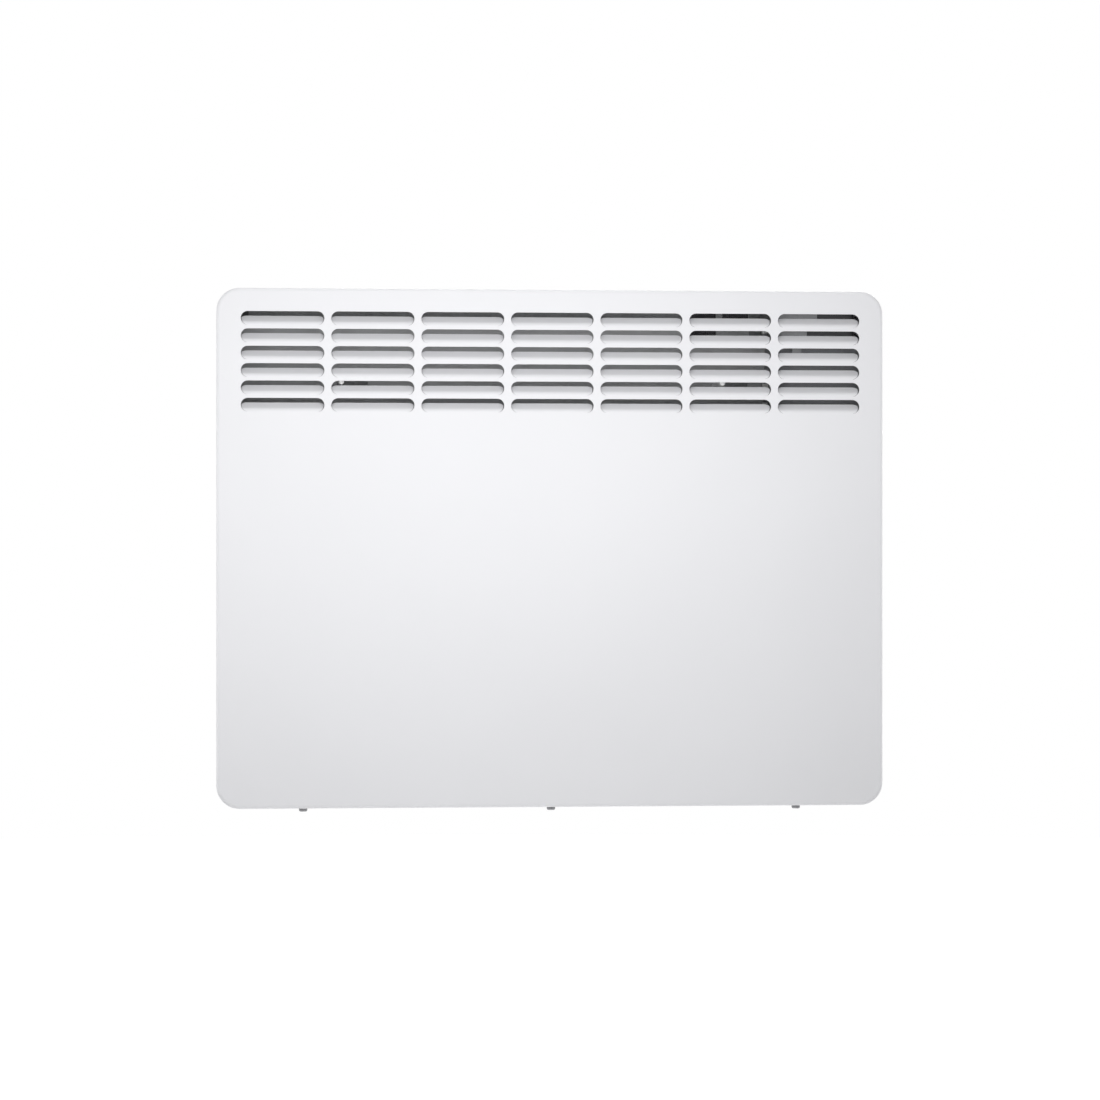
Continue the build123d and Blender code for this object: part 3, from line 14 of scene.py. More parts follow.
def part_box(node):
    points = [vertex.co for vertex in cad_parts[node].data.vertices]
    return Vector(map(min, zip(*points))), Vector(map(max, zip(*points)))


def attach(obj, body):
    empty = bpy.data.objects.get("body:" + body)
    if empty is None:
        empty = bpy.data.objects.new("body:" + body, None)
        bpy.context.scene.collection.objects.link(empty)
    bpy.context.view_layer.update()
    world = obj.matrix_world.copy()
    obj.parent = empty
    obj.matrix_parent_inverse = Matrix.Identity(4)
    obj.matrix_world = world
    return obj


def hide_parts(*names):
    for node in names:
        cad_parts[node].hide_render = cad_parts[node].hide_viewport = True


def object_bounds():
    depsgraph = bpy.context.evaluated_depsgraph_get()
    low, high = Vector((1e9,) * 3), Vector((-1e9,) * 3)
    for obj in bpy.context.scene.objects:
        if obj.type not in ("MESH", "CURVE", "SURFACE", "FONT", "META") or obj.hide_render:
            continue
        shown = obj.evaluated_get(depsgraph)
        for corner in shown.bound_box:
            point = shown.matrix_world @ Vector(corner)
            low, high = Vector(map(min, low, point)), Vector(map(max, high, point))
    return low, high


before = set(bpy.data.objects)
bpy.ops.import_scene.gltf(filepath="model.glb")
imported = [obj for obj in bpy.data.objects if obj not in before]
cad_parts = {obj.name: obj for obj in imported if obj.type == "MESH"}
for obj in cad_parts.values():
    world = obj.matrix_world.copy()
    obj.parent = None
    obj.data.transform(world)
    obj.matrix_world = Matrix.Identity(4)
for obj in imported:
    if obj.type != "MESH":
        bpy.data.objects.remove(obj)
cad_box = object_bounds()

bl_info = {
    "name": "Panel Convector Heater",
    "version": (1, 0, 0),
    "blender": (4, 5, 0),
    "location": "View3D > Sidebar > Heater",
    "description": "Finishes, small fittings and studio of a wall panel convector heater",
    "category": "Object",
}

MM = 0.001


# ---- sizes and colours that a user would change ----


class HeaterFinishSettings(bpy.types.PropertyGroup):
    """Colours and grain of the heater's finishes."""

    coat_colour: FloatVectorProperty(
        name="Coat colour",
        description="Powder coat of the casing",
        subtype="COLOR",
        size=3,
        min=0,
        max=1,
        default=(0.862, 0.864, 0.888),
    )
    coat_grain: FloatProperty(
        name="Coat grain", description="Width of one orange-peel cell", default=0.0011, unit="LENGTH"
    )
    coat_relief: FloatProperty(
        name="Coat relief",
        description="Height of the orange peel",
        default=0.000012,
        unit="LENGTH",
        precision=6,
    )
    # Darker than bare aluminised steel: painted shade for the recess behind the louvre slots.
    sheet_colour: FloatVectorProperty(
        name="Sheet colour",
        description="Aluminised sheet inside",
        subtype="COLOR",
        size=3,
        min=0,
        max=1,
        default=(0.47, 0.473, 0.48),
    )
    # Darker than fresh zinc: painted shade for the partition's tab seen behind the slots.
    zinc_colour: FloatVectorProperty(
        name="Zinc colour",
        description="Galvanised partition",
        subtype="COLOR",
        size=3,
        min=0,
        max=1,
        default=(0.25, 0.255, 0.262),
    )
    bracket_colour: FloatVectorProperty(
        name="Bracket colour",
        description="Galvanised wall bracket",
        subtype="COLOR",
        size=3,
        min=0,
        max=1,
        default=(0.3, 0.304, 0.312),
    )
    lit_colour: FloatVectorProperty(
        name="Display colour",
        description="Backlight of the display",
        subtype="COLOR",
        size=3,
        min=0,
        max=1,
        default=(0.5, 0.6, 0.52),
    )


class HeaterFittingSettings(bpy.types.PropertyGroup):
    """Sizes of the small fittings that the frame leaves plain."""

    shown_number: IntProperty(
        name="Shown number", description="Number on the display", default=21, min=10, max=39
    )
    digit_height: FloatProperty(
        name="Digit height", description="Height of a digit", default=0.0105, unit="LENGTH"
    )
    digit_setback: FloatProperty(
        name="Digit setback", description="Digits behind the panel's middle", default=0.0012, unit="LENGTH"
    )
    level_bars: IntProperty(
        name="Level bars", description="Number of level bars beside the digits", default=5, min=1, max=6
    )
    digit_relief: FloatProperty(
        name="Digit relief",
        description="Thickness of a digit's bars",
        default=0.00006,
        unit="LENGTH",
        precision=6,
    )
    button_dish: FloatProperty(
        name="Button dish",
        description="Depth of the finger dish in a button",
        default=0.00035,
        unit="LENGTH",
    )
    mark_relief: FloatProperty(
        name="Mark relief",
        description="How far a mark stands off its button",
        default=0.00015,
        unit="LENGTH",
    )
    spacer_groove: FloatProperty(
        name="Spacer groove",
        description="Depth of the grooves round a spacer",
        default=0.0009,
        unit="LENGTH",
    )
    pad_thickness: FloatProperty(
        name="Pad thickness", description="Thickness of a foam pad's base", default=0.0016, unit="LENGTH"
    )
    pad_peak: FloatProperty(
        name="Pad peak", description="Rise of the peaks on a foam pad", default=0.0009, unit="LENGTH"
    )


class HeaterStageSettings(bpy.types.PropertyGroup):
    """Camera, lamps and floor."""

    view_azimuth: FloatProperty(
        name="View azimuth",
        description="Turn of the camera to the heater's left",
        default=math.radians(5.2),
        subtype="ANGLE",
    )
    view_distance: FloatProperty(
        name="View distance", description="Camera to the middle of the heater", default=3.206, unit="LENGTH"
    )
    focal_length: FloatProperty(
        name="Focal length", description="Lens, for a 36 mm sensor", default=118.8, unit="CAMERA"
    )
    aim_right: FloatProperty(
        name="Aim right", description="Aimed at this far right of the middle", default=0.0024, unit="LENGTH"
    )
    aim_down: FloatProperty(
        name="Aim down", description="Aimed at this far below the middle", default=0.0014, unit="LENGTH"
    )
    key_power: FloatProperty(
        name="Key power", description="Power of the soft lamp in front", default=3.0, unit="POWER"
    )
    fill_power: FloatProperty(
        name="Fill power", description="Power of the small lamp to the right", default=0.44, unit="POWER"
    )
    ambient: FloatProperty(
        name="Ambient", description="Strength of the even light all round", default=0.36, min=0, max=1
    )
    rim_power: FloatProperty(
        name="Rim power", description="Power of each lamp that lights one side", default=2.2, unit="POWER"
    )
    back_power: FloatProperty(
        name="Back power", description="Power of the lamp behind the heater", default=16.0, unit="POWER"
    )
    rim_distance: FloatProperty(
        name="Rim distance", description="Side lamps to the heater's middle", default=1.1, unit="LENGTH"
    )
    floor_drop: FloatProperty(
        name="Floor drop", description="Floor below the heater's middle", default=1.2, unit="LENGTH"
    )


def finishes():
    return bpy.context.scene.heater_finish


def fittings():
    return bpy.context.scene.heater_fitting


# ---- shader trees ----


def add_node(tree, kind, inputs=(), **settings):
    """Adds a node, sets its settings, and fills or links each named input."""
    made = tree.nodes.new(kind)
    for name, value in settings.items():
        setattr(made, name, value)
    for name, value in dict(inputs).items():
        if isinstance(value, bpy.types.NodeSocket):
            tree.links.new(value, made.inputs[name])
        else:
            made.inputs[name].default_value = value
    return made


def new_group(name, inputs, outputs):
    """A shader group, with its inputs' defaults, and its input and output nodes."""
    tree = bpy.data.node_groups.new(name, "ShaderNodeTree")
    for label, default in inputs.items():
        kind = "NodeSocketFloat"
        if isinstance(default, tuple):
            kind = "NodeSocketColor" if len(default) == 4 else "NodeSocketVector"
        tree.interface.new_socket(label, in_out="INPUT", socket_type=kind).default_value = default
    for label in outputs:
        kind = "NodeSocketColor" if label == "Colour" else "NodeSocketFloat"
        tree.interface.new_socket(label, in_out="OUTPUT", socket_type=kind)
    return tree, tree.nodes.new("NodeGroupInput"), tree.nodes.new("NodeGroupOutput")


def math_node(tree, operation, first, second):
    """The output of one Math node."""
    return add_node(tree, "ShaderNodeMath", {0: first, 1: second}, operation=operation).outputs[0]


def spread(tree, value, low, high, from_low=0.0, from_high=1.0):
    """A value moved from one range to another, held at its ends."""
    made = add_node(
        tree,
        "ShaderNodeMapRange",
        {"Value": value, "From Min": from_low, "From Max": from_high, "To Min": low, "To Max": high},
    )
    return made.outputs["Result"]


def tinted(tree, colour, share):
    """A colour times a share that changes over the surface."""
    grey = add_node(tree, "ShaderNodeCombineColor", {"Red": share, "Green": share, "Blue": share})
    made = add_node(tree, "ShaderNodeMix", data_type="RGBA", blend_type="MULTIPLY")
    made.inputs["Factor"].default_value = 1.0
    tree.links.new(colour, made.inputs["A"])
    tree.links.new(grey.outputs[0], made.inputs["B"])
    return made.outputs["Result"]


def place(tree):
    """The point of the surface, in the frame."""
    return tree.nodes.new("ShaderNodeTexCoord").outputs["Object"]


def noise(tree, point, scale, detail):
    """Smooth noise from 0 to 1."""
    made = add_node(tree, "ShaderNodeTexNoise", {"Vector": point, "Scale": scale, "Detail": detail})
    return made.outputs["Fac"]


def send(tree, out, **sockets):
    """Links values to a group's outputs."""
    for label, value in sockets.items():
        tree.links.new(value, out.inputs[label])


def seen_directly(tree):
    """One for the eye's rays and for reflected and refracted ones, zero for diffuse light."""
    path = tree.nodes.new("ShaderNodeLightPath")
    seen = math_node(tree, "MAXIMUM", path.outputs["Is Camera Ray"], path.outputs["Is Glossy Ray"])
    return math_node(tree, "MAXIMUM", seen, path.outputs["Is Transmission Ray"])


def coat_group():
    """Powder coat: an orange-peel relief, and a slow drift of tone and gloss."""
    inputs = {"Colour": (0.8, 0.8, 0.8, 1.0), "Grain": 900.0, "Drift": 0.02, "Gloss": 0.42}
    tree, given, out = new_group("orange_peel_coat", inputs, ("Colour", "Roughness", "Height"))
    point = place(tree)
    peel = noise(tree, point, scale=given.outputs["Grain"], detail=1.5)
    slow = noise(tree, point, scale=7.0, detail=3.0)
    low_tone = math_node(tree, "SUBTRACT", 1.0, given.outputs["Drift"])
    tone = spread(tree, slow, low_tone, 1.0, 0.3, 0.7)
    rough = math_node(tree, "ADD", given.outputs["Gloss"], spread(tree, slow, 0.0, 0.06))
    colour = tinted(tree, given.outputs["Colour"], tone)
    send(tree, out, Colour=colour, Roughness=rough, Height=peel)
    return tree


def rolled_group():
    """Rolled, drawn or extruded metal: fine streaks along one way, with soft stains."""
    inputs = {
        "Colour": (0.6, 0.6, 0.6, 1.0),
        "Stretch": (8.0, 900.0, 900.0),
        "Contrast": 0.12,
        "Stain": 0.08,
        "Gloss": 0.3,
    }
    tree, given, out = new_group("rolled_metal", inputs, ("Colour", "Roughness", "Height"))
    point = place(tree)
    scaled = add_node(
        tree, "ShaderNodeVectorMath", {0: point, 1: given.outputs["Stretch"]}, operation="MULTIPLY"
    )
    streak = noise(tree, scaled.outputs[0], scale=1.0, detail=3.0)
    stain = noise(tree, point, scale=24.0, detail=4.0)
    light = math_node(tree, "MULTIPLY", streak, given.outputs["Contrast"])
    dark = math_node(tree, "MULTIPLY", stain, given.outputs["Stain"])
    share = math_node(tree, "SUBTRACT", math_node(tree, "ADD", 1.0, light), dark)
    rough = math_node(tree, "ADD", given.outputs["Gloss"], spread(tree, streak, 0.0, 0.16))
    send(tree, out, Colour=tinted(tree, given.outputs["Colour"], share), Roughness=rough, Height=streak)
    return tree


def zinc_group():
    """Hot-dip zinc: flat crystals of two sizes that each catch the light in their own way."""
    inputs = {"Colour": (0.6, 0.62, 0.64, 1.0), "Crystals": 170.0, "Contrast": 0.22, "Gloss": 0.34}
    tree, given, out = new_group("zinc_spangle", inputs, ("Colour", "Roughness", "Height"))
    point = place(tree)
    small = math_node(tree, "MULTIPLY", given.outputs["Crystals"], 2.3)
    tones = []
    for scale in (given.outputs["Crystals"], small):
        cells = add_node(tree, "ShaderNodeTexVoronoi", {"Vector": point, "Scale": scale})
        parts = add_node(tree, "ShaderNodeSeparateColor", {"Color": cells.outputs["Color"]})
        tones.append(parts.outputs["Red"])
    tone = math_node(tree, "MULTIPLY", math_node(tree, "ADD", *tones), 0.5)
    fine = noise(tree, point, scale=700.0, detail=3.0)
    bloom = noise(tree, point, scale=9.0, detail=4.0)
    light = math_node(tree, "MULTIPLY", tone, given.outputs["Contrast"])
    share = math_node(tree, "ADD", math_node(tree, "ADD", 0.85, light), spread(tree, bloom, -0.06, 0.06))
    rough = math_node(tree, "ADD", given.outputs["Gloss"], spread(tree, tone, 0.0, 0.22))
    height = math_node(tree, "ADD", math_node(tree, "MULTIPLY", tone, 0.4), fine)
    send(tree, out, Colour=tinted(tree, given.outputs["Colour"], share), Roughness=rough, Height=height)
    return tree


def moulded_group():
    """Moulded plastic, rubber or insulation: a fine eroded skin with a little bloom."""
    inputs = {"Colour": (0.5, 0.5, 0.5, 1.0), "Grain": 2600.0, "Bloom": 0.06, "Gloss": 0.45}
    tree, given, out = new_group("moulded_skin", inputs, ("Colour", "Roughness", "Height"))
    point = place(tree)
    skin = noise(tree, point, scale=given.outputs["Grain"], detail=2.0)
    bloom = noise(tree, point, scale=60.0, detail=4.0)
    lifted = math_node(tree, "MULTIPLY", bloom, given.outputs["Bloom"])
    share = math_node(tree, "ADD", math_node(tree, "ADD", 0.97, lifted), spread(tree, skin, -0.02, 0.02))
    rough = math_node(tree, "ADD", given.outputs["Gloss"], spread(tree, bloom, -0.05, 0.08))
    send(tree, out, Colour=tinted(tree, given.outputs["Colour"], share), Roughness=rough, Height=skin)
    return tree


def board_group():
    """A circuit board: solder mask over copper tracks, with bright pads."""
    inputs = {"Colour": (0.05, 0.22, 0.1, 1.0), "Tracks": 260.0, "Pads": 170.0}
    tree, given, out = new_group("board_tracks", inputs, ("Colour", "Roughness", "Metal", "Height"))
    point = place(tree)
    lanes = add_node(
        tree,
        "ShaderNodeTexBrick",
        {"Vector": point, "Scale": given.outputs["Tracks"], "Mortar Size": 0.08, "Mortar Smooth": 0.2},
    )
    track = lanes.outputs["Fac"]
    dots = add_node(tree, "ShaderNodeTexVoronoi", {"Vector": point, "Scale": given.outputs["Pads"]})
    pad = spread(tree, dots.outputs["Distance"], 1.0, 0.0, 0.11, 0.13)
    masked = tinted(tree, given.outputs["Colour"], spread(tree, track, 1.0, 1.9))
    colour = add_node(tree, "ShaderNodeMix", data_type="RGBA")
    tree.links.new(pad, colour.inputs["Factor"])
    tree.links.new(masked, colour.inputs["A"])
    colour.inputs["B"].default_value = (0.75, 0.74, 0.7, 1.0)
    height = math_node(tree, "MAXIMUM", track, pad)
    rough = spread(tree, pad, 0.3, 0.22)
    send(tree, out, Colour=colour.outputs["Result"], Roughness=rough, Metal=pad, Height=height)
    return tree


GROUPS = {
    "coat": coat_group,
    "rolled": rolled_group,
    "zinc": zinc_group,
    "moulded": moulded_group,
    "board": board_group,
}
built_groups = {}


def shared_group(kind):
    """A shader group, built the first time it is asked for."""
    if kind not in built_groups:
        built_groups[kind] = GROUPS[kind]()
    return built_groups[kind]


def finish(name, kind, colour, relief, sockets=(), **group_inputs):
    """A material: one shared group with its own values, a bump, and one shader with its plain sockets."""
    material = bpy.data.materials.new(name)
    material.use_nodes = True
    tree = material.node_tree
    shader = tree.nodes["Principled BSDF"]
    surface = add_node(tree, "ShaderNodeGroup", node_tree=shared_group(kind))
    surface.inputs["Colour"].default_value = (*colour, 1.0)
    for label, value in group_inputs.items():
        surface.inputs[label].default_value = value
    bump = add_node(tree, "ShaderNodeBump", {"Height": surface.outputs["Height"], "Distance": relief})
    tree.links.new(surface.outputs["Colour"], shader.inputs["Base Color"])
    tree.links.new(surface.outputs["Roughness"], shader.inputs["Roughness"])
    tree.links.new(bump.outputs["Normal"], shader.inputs["Normal"])
    if "Metal" in surface.outputs:
        tree.links.new(surface.outputs["Metal"], shader.inputs["Metallic"])
    for label, value in dict(sockets).items():
        shader.inputs[label].default_value = value
    return material


METAL = {"Metallic": 1.0}
# scales of the streak noise along the streaks and across them
ALONG, ACROSS = 14.0, 900.0
ALONG_X = (ALONG, ACROSS, ACROSS)
ALONG_Y = (ACROSS, ALONG, ACROSS)
ALONG_Z = (ACROSS, ACROSS, ALONG)


def white_coat():
    settings = finishes()
    return finish(
        "white_coat",
        "coat",
        settings.coat_colour,
        relief=settings.coat_relief,
        sockets={"Specular IOR Level": 0.45},
        Grain=1 / settings.coat_grain,
    )


# The baffle's and shield's sheet, darkened as painted shade for the recess behind the slots.
def bright_sheet():
    sockets = {"Metallic": 0.2}
    colour = finishes().sheet_colour
    return finish(
        "bright_sheet", "rolled", colour, relief=4e-6, sockets=sockets, Stretch=ALONG_X, Gloss=0.5
    )


# The partition's zinc, darkened as painted shade behind the slots.
def galvanised():
    return finish(
        "galvanised", "zinc", finishes().zinc_colour, relief=5e-6, sockets={"Metallic": 0.3}, Gloss=0.4
    )


def bracket_zinc():
    """The wall bracket's zinc: more metallic than the sheets', with larger crystals."""
    colour = finishes().bracket_colour
    return finish(
        "bracket_zinc", "zinc", colour, relief=5e-6, sockets={"Metallic": 0.5}, Crystals=110.0, Gloss=0.36
    )


def panel_zinc():
    """The rear panel's zinc, the palest of the four."""
    return finish(
        "panel_zinc", "zinc", (0.47, 0.476, 0.487), relief=5e-6, sockets={"Metallic": 0.3}, Gloss=0.4
    )


def cover_zinc():
    """The board cover's zinc, the darkest and dullest of the four: darkened as painted shade for the cover
    seen behind the slots.
    """
    return finish(
        "cover_zinc", "zinc", (0.185, 0.189, 0.196), relief=5e-6, sockets={"Metallic": 0.3}, Gloss=0.46
    )


def end_plate_sheet():
    """The left end plate, darker and duller than the other bare sheets: painted shade for the left ends of
    the slots.
    """
    sockets = {"Metallic": 0.2}
    colour = (0.2, 0.202, 0.207)
    return finish(
        "end_plate_sheet", "rolled", colour, relief=4e-6, sockets=sockets, Stretch=ALONG_Y, Gloss=0.55
    )


def fin_aluminium():
    return finish(
        "fin_aluminium",
        "rolled",
        (0.7, 0.71, 0.72),
        relief=1e-5,
        sockets=METAL,
        Stretch=ALONG_X,
        Gloss=0.32,
    )


def sheath_steel():
    return finish(
        "sheath_steel", "rolled", (0.3, 0.27, 0.25), relief=5e-6, sockets=METAL, Stretch=ALONG_X, Stain=0.3
    )


def dark_steel():
    return finish(
        "dark_steel", "rolled", (0.25, 0.25, 0.26), relief=6e-6, sockets={"Metallic": 0.6}, Stretch=ALONG_Z
    )


def zinc_screw():
    return finish(
        "zinc_screw", "rolled", (0.66, 0.67, 0.66), relief=6e-6, sockets=METAL, Stretch=ALONG_Y, Gloss=0.26
    )


def brass():
    return finish(
        "brass", "rolled", (0.78, 0.6, 0.3), relief=4e-6, sockets=METAL, Stretch=ALONG_Z, Gloss=0.22
    )


def steatite():
    return finish(
        "steatite", "moulded", (0.8, 0.79, 0.76), relief=2e-5, Grain=1500.0, Bloom=0.08, Gloss=0.62
    )


def peg_ceramic():
    """The glazed white ceramic of the baffle's pegs, pale so that each peg stands for a bright glint behind
    the slots: partly the pegs' own white, partly a painted highlight.
    """
    return finish(
        "peg_ceramic", "moulded", (0.94, 0.94, 0.935), relief=1e-5, Grain=1500.0, Bloom=0.04, Gloss=0.35
    )


def dark_plastic():
    return finish("dark_plastic", "moulded", (0.045, 0.047, 0.05), relief=1.5e-5, Gloss=0.5)


def fascia_plastic():
    return finish("fascia_plastic", "moulded", (0.035, 0.037, 0.04), relief=8e-6, Grain=3200.0, Gloss=0.34)


def button_plastic():
    return finish("button_plastic", "moulded", (0.62, 0.63, 0.65), relief=8e-6, Grain=3200.0, Gloss=0.42)


def light_plastic():
    return finish("light_plastic", "moulded", (0.74, 0.74, 0.68), relief=1.5e-5, Gloss=0.48)


def relay_blue():
    return finish("relay_blue", "moulded", (0.07, 0.19, 0.46), relief=1e-5, Gloss=0.3)


def tape_yellow():
    return finish("tape_yellow", "moulded", (0.78, 0.6, 0.1), relief=2.5e-5, Grain=500.0, Gloss=0.36)


def rubber_grey():
    return finish(
        "rubber_grey", "moulded", (0.12, 0.12, 0.13), relief=2.5e-5, Grain=1400.0, Bloom=0.15, Gloss=0.7
    )


def foam_black():
    """The open skin of a foam pad, black as painted shade for the cavity behind the baffle's notch."""
    return finish(
        "foam_black", "moulded", (0.11, 0.11, 0.115), relief=6e-5, Grain=1100.0, Bloom=0.2, Gloss=0.85
    )


def board_green():
    return finish("board_green", "board", (0.02, 0.16, 0.06), relief=3e-5, sockets={"Coat Weight": 0.4})


def insulation(slot, colour):
    return finish(slot, "moulded", colour, relief=6e-6, Grain=2000.0, Bloom=0.1, Gloss=0.36)


LEADS = {
    "lead_blue": (0.04, 0.16, 0.55),
    "lead_brown": (0.2, 0.09, 0.04),
    "lead_black": (0.03, 0.03, 0.032),
    "lead_red": (0.5, 0.04, 0.03),
    "lead_grey": (0.42, 0.42, 0.43),
}


def lead_earth():
    """Green insulation with yellow stripes."""
    material = insulation("lead_earth", (0.1, 0.42, 0.06))
    tree = material.node_tree
    shader = tree.nodes["Principled BSDF"]
    green = shader.inputs["Base Color"].links[0].from_socket
    stripes = add_node(
        tree,
        "ShaderNodeTexWave",
        {"Vector": place(tree), "Scale": 60.0, "Distortion": 0.0},
        bands_direction="DIAGONAL",
    )
    mask = spread(tree, stripes.outputs["Fac"], 0.0, 1.0, 0.45, 0.55)
    mixed = add_node(tree, "ShaderNodeMix", data_type="RGBA")
    tree.links.new(mask, mixed.inputs["Factor"])
    tree.links.new(green, mixed.inputs["A"])
    mixed.inputs["B"].default_value = (0.72, 0.62, 0.05, 1.0)
    tree.links.new(mixed.outputs["Result"], shader.inputs["Base Color"])
    return material


def lens_smoke():
    """Smoked acrylic over the display: polished, so its gloss is even."""
    sockets = {"Transmission Weight": 1.0, "IOR": 1.49}
    material = finish("lens_smoke", "moulded", (0.5, 0.52, 0.54), relief=1e-7, sockets=sockets, Bloom=0.02)
    rough = material.node_tree.nodes["Principled BSDF"].inputs["Roughness"]
    material.node_tree.links.remove(rough.links[0])
    rough.default_value = 0.0
    return material


def display_glass():
    """The display's pale panel, lit from behind."""
    material = finish("display_glass", "moulded", finishes().lit_colour, relief=2e-6, Bloom=0.04, Gloss=0.2)
    shader = material.node_tree.nodes["Principled BSDF"]
    glow = shader.inputs["Base Color"].links[0].from_socket
    material.node_tree.links.new(glow, shader.inputs["Emission Color"])
    shader.inputs["Emission Strength"].default_value = 0.9
    return material


def display_ink():
    return finish("display_ink", "moulded", (0.02, 0.022, 0.024), relief=1e-6, Gloss=0.3)


def mark_ink():
    return finish("mark_ink", "moulded", (0.07, 0.072, 0.078), relief=2e-6, Gloss=0.45)


def mark_white():
    return finish("mark_white", "moulded", (0.78, 0.78, 0.78), relief=2e-6, Gloss=0.45)


def paint(material, nodes):
    """Gives CAD nodes a material of this file."""
    for name in nodes:
        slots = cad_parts[name].data.materials
        slots.clear()
        slots.append(material)


# ---- modelling helpers ----


def clear_selection():
    if bpy.context.object is not None and bpy.context.object.mode != "OBJECT":
        bpy.ops.object.mode_set(mode="OBJECT")
    bpy.ops.object.select_all(action="DESELECT")


def apply_place(piece):
    """Puts a piece's place, turn and scale into its mesh."""
    clear_selection()
    piece.select_set(True)
    bpy.context.view_layer.objects.active = piece
    bpy.ops.object.transform_apply(location=True, rotation=True, scale=True)


def new_block(low, high):
    """A box from one corner to another, with its place in its mesh."""
    clear_selection()
    low, high = Vector(low), Vector(high)
    bpy.ops.mesh.primitive_cube_add(size=1, location=(low + high) / 2, scale=high - low)
    piece = bpy.context.object
    apply_place(piece)
    return piece


def new_disc(centre, radius, depth, sides, turn=(0, 0, 0)):
    """A round bar, standing on its middle."""
    clear_selection()
    bpy.ops.mesh.primitive_cylinder_add(
        vertices=sides, radius=radius, depth=depth, location=centre, rotation=turn
    )
    piece = bpy.context.object
    apply_place(piece)
    return piece


def edit(piece, mode):
    """Opens a mesh for editing, with nothing selected."""
    clear_selection()
    piece.select_set(True)
    bpy.context.view_layer.objects.active = piece
    for element in (*piece.data.vertices, *piece.data.edges, *piece.data.polygons):
        element.select = False
    bpy.ops.object.mode_set(mode="EDIT")
    bpy.ops.mesh.select_mode(type=mode)
    bpy.ops.object.mode_set(mode="OBJECT")


def select_faces(piece, wanted):
    """Selects the faces that a test accepts, and opens the mesh."""
    edit(piece, "FACE")
    for face in piece.data.polygons:
        face.select = wanted(face)
    bpy.ops.object.mode_set(mode="EDIT")


def select_edges(piece, wanted):
    """Selects the edges that a test of their two ends accepts, and opens the mesh."""
    edit(piece, "EDGE")
    corners = piece.data.vertices
    for edge in piece.data.edges:
        edge.select = wanted(*(corners[i].co for i in edge.vertices))
    bpy.ops.object.mode_set(mode="EDIT")


def done():
    bpy.ops.object.mode_set(mode="OBJECT")


def joined(name, parts, material, smooth=math.radians(35)):
    """One piece from several, named, shaded and painted."""
    clear_selection()
    for part in parts:
        part.select_set(True)
    bpy.context.view_layer.objects.active = parts[0]
    if len(parts) > 1:
        bpy.ops.object.join()
    piece = bpy.context.object
    piece.name = name
    piece.data.name = name
    piece.data.materials.clear()
    piece.data.materials.append(material)
    bpy.ops.object.shade_smooth_by_angle(angle=smooth)
    return piece


def middle(node):
    low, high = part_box(node)
    return (low + high) / 2


# ---- operators: finishes of the frame ----


class HEATER_OT_coat_casing(bpy.types.Operator):
    """Powder coats the casing and the base grille"""

    bl_idname = "heater.coat_casing"
    bl_label = "Coat the casing"

    def execute(self, context):
        paint(white_coat(), ("front_casing", "base_grille"))
        return {"FINISHED"}


class HEATER_OT_finish_sheets(bpy.types.Operator):
    """Finishes the rear panel, the wall bracket and the bare sheets inside"""

    bl_idname = "heater.finish_sheets"
    bl_label = "Finish the sheets"

    def execute(self, context):
        paint(galvanised(), ("partition",))
        paint(panel_zinc(), ("rear_panel",))
        paint(cover_zinc(), ("board_cover",))
        paint(bracket_zinc(), ("wall_bracket",))
        paint(bright_sheet(), ("rear_baffle", "front_shield"))
        paint(end_plate_sheet(), ("left_end_plate",))
        return {"FINISHED"}


class HEATER_OT_finish_fasteners(bpy.types.Operator):
    """Finishes the screws and rivets"""

    bl_idname = "heater.finish_fasteners"
    bl_label = "Finish the fasteners"

    def execute(self, context):
        paint(dark_steel(), ("casing_screws",))
        bright = ("rear_panel_screws", "sheet_rivets", "board_screws", "terminal_screws", "chassis_screws")
        paint(zinc_screw(), bright)
        return {"FINISHED"}


class HEATER_OT_finish_element(bpy.types.Operator):
    """Finishes the heating element, its collars and the safety cut-out"""

    bl_idname = "heater.finish_element"
    bl_label = "Finish the element"

    def execute(self, context):
        paint(fin_aluminium(), ("element_fins",))
        paint(sheath_steel(), ("element_sheath",))
        paint(steatite(), ("element_collars", "element_insulator", "thermal_cutout"))
        paint(peg_ceramic(), ("baffle_pegs",))
        paint(brass(), ("element_pins", "cutout_terminals", "switch_terminals", "board_standoffs"))
        return {"FINISHED"}


class HEATER_OT_finish_controls(bpy.types.Operator):
    """Finishes the control unit, the mains switch, the gland and the room sensor"""

    bl_idname = "heater.finish_controls"
    bl_label = "Finish the controls"

    def execute(self, context):
        dark = ("control_housing", "button_contacts", "cable_gland", "gland_nut")
        dark += ("switch_body", "room_sensor")
        paint(dark_plastic(), dark)
        paint(fascia_plastic(), ("control_fascia", "switch_rocker"))
        paint(lens_smoke(), ("display_lens",))
        paint(display_glass(), ("display_panel",))
        return {"FINISHED"}


class HEATER_OT_finish_electronics(bpy.types.Operator):
    """Finishes the boards and what stands on them"""

    bl_idname = "heater.finish_electronics"
    bl_label = "Finish the electronics"

    def execute(self, context):
        paint(board_green(), ("display_board", "power_board"))
        paint(light_plastic(), ("board_connectors", "terminal_block", "sensor_clip"))
        paint(relay_blue(), ("relay",))
        paint(tape_yellow(), ("transformer", "filter_capacitor"))
        return {"FINISHED"}


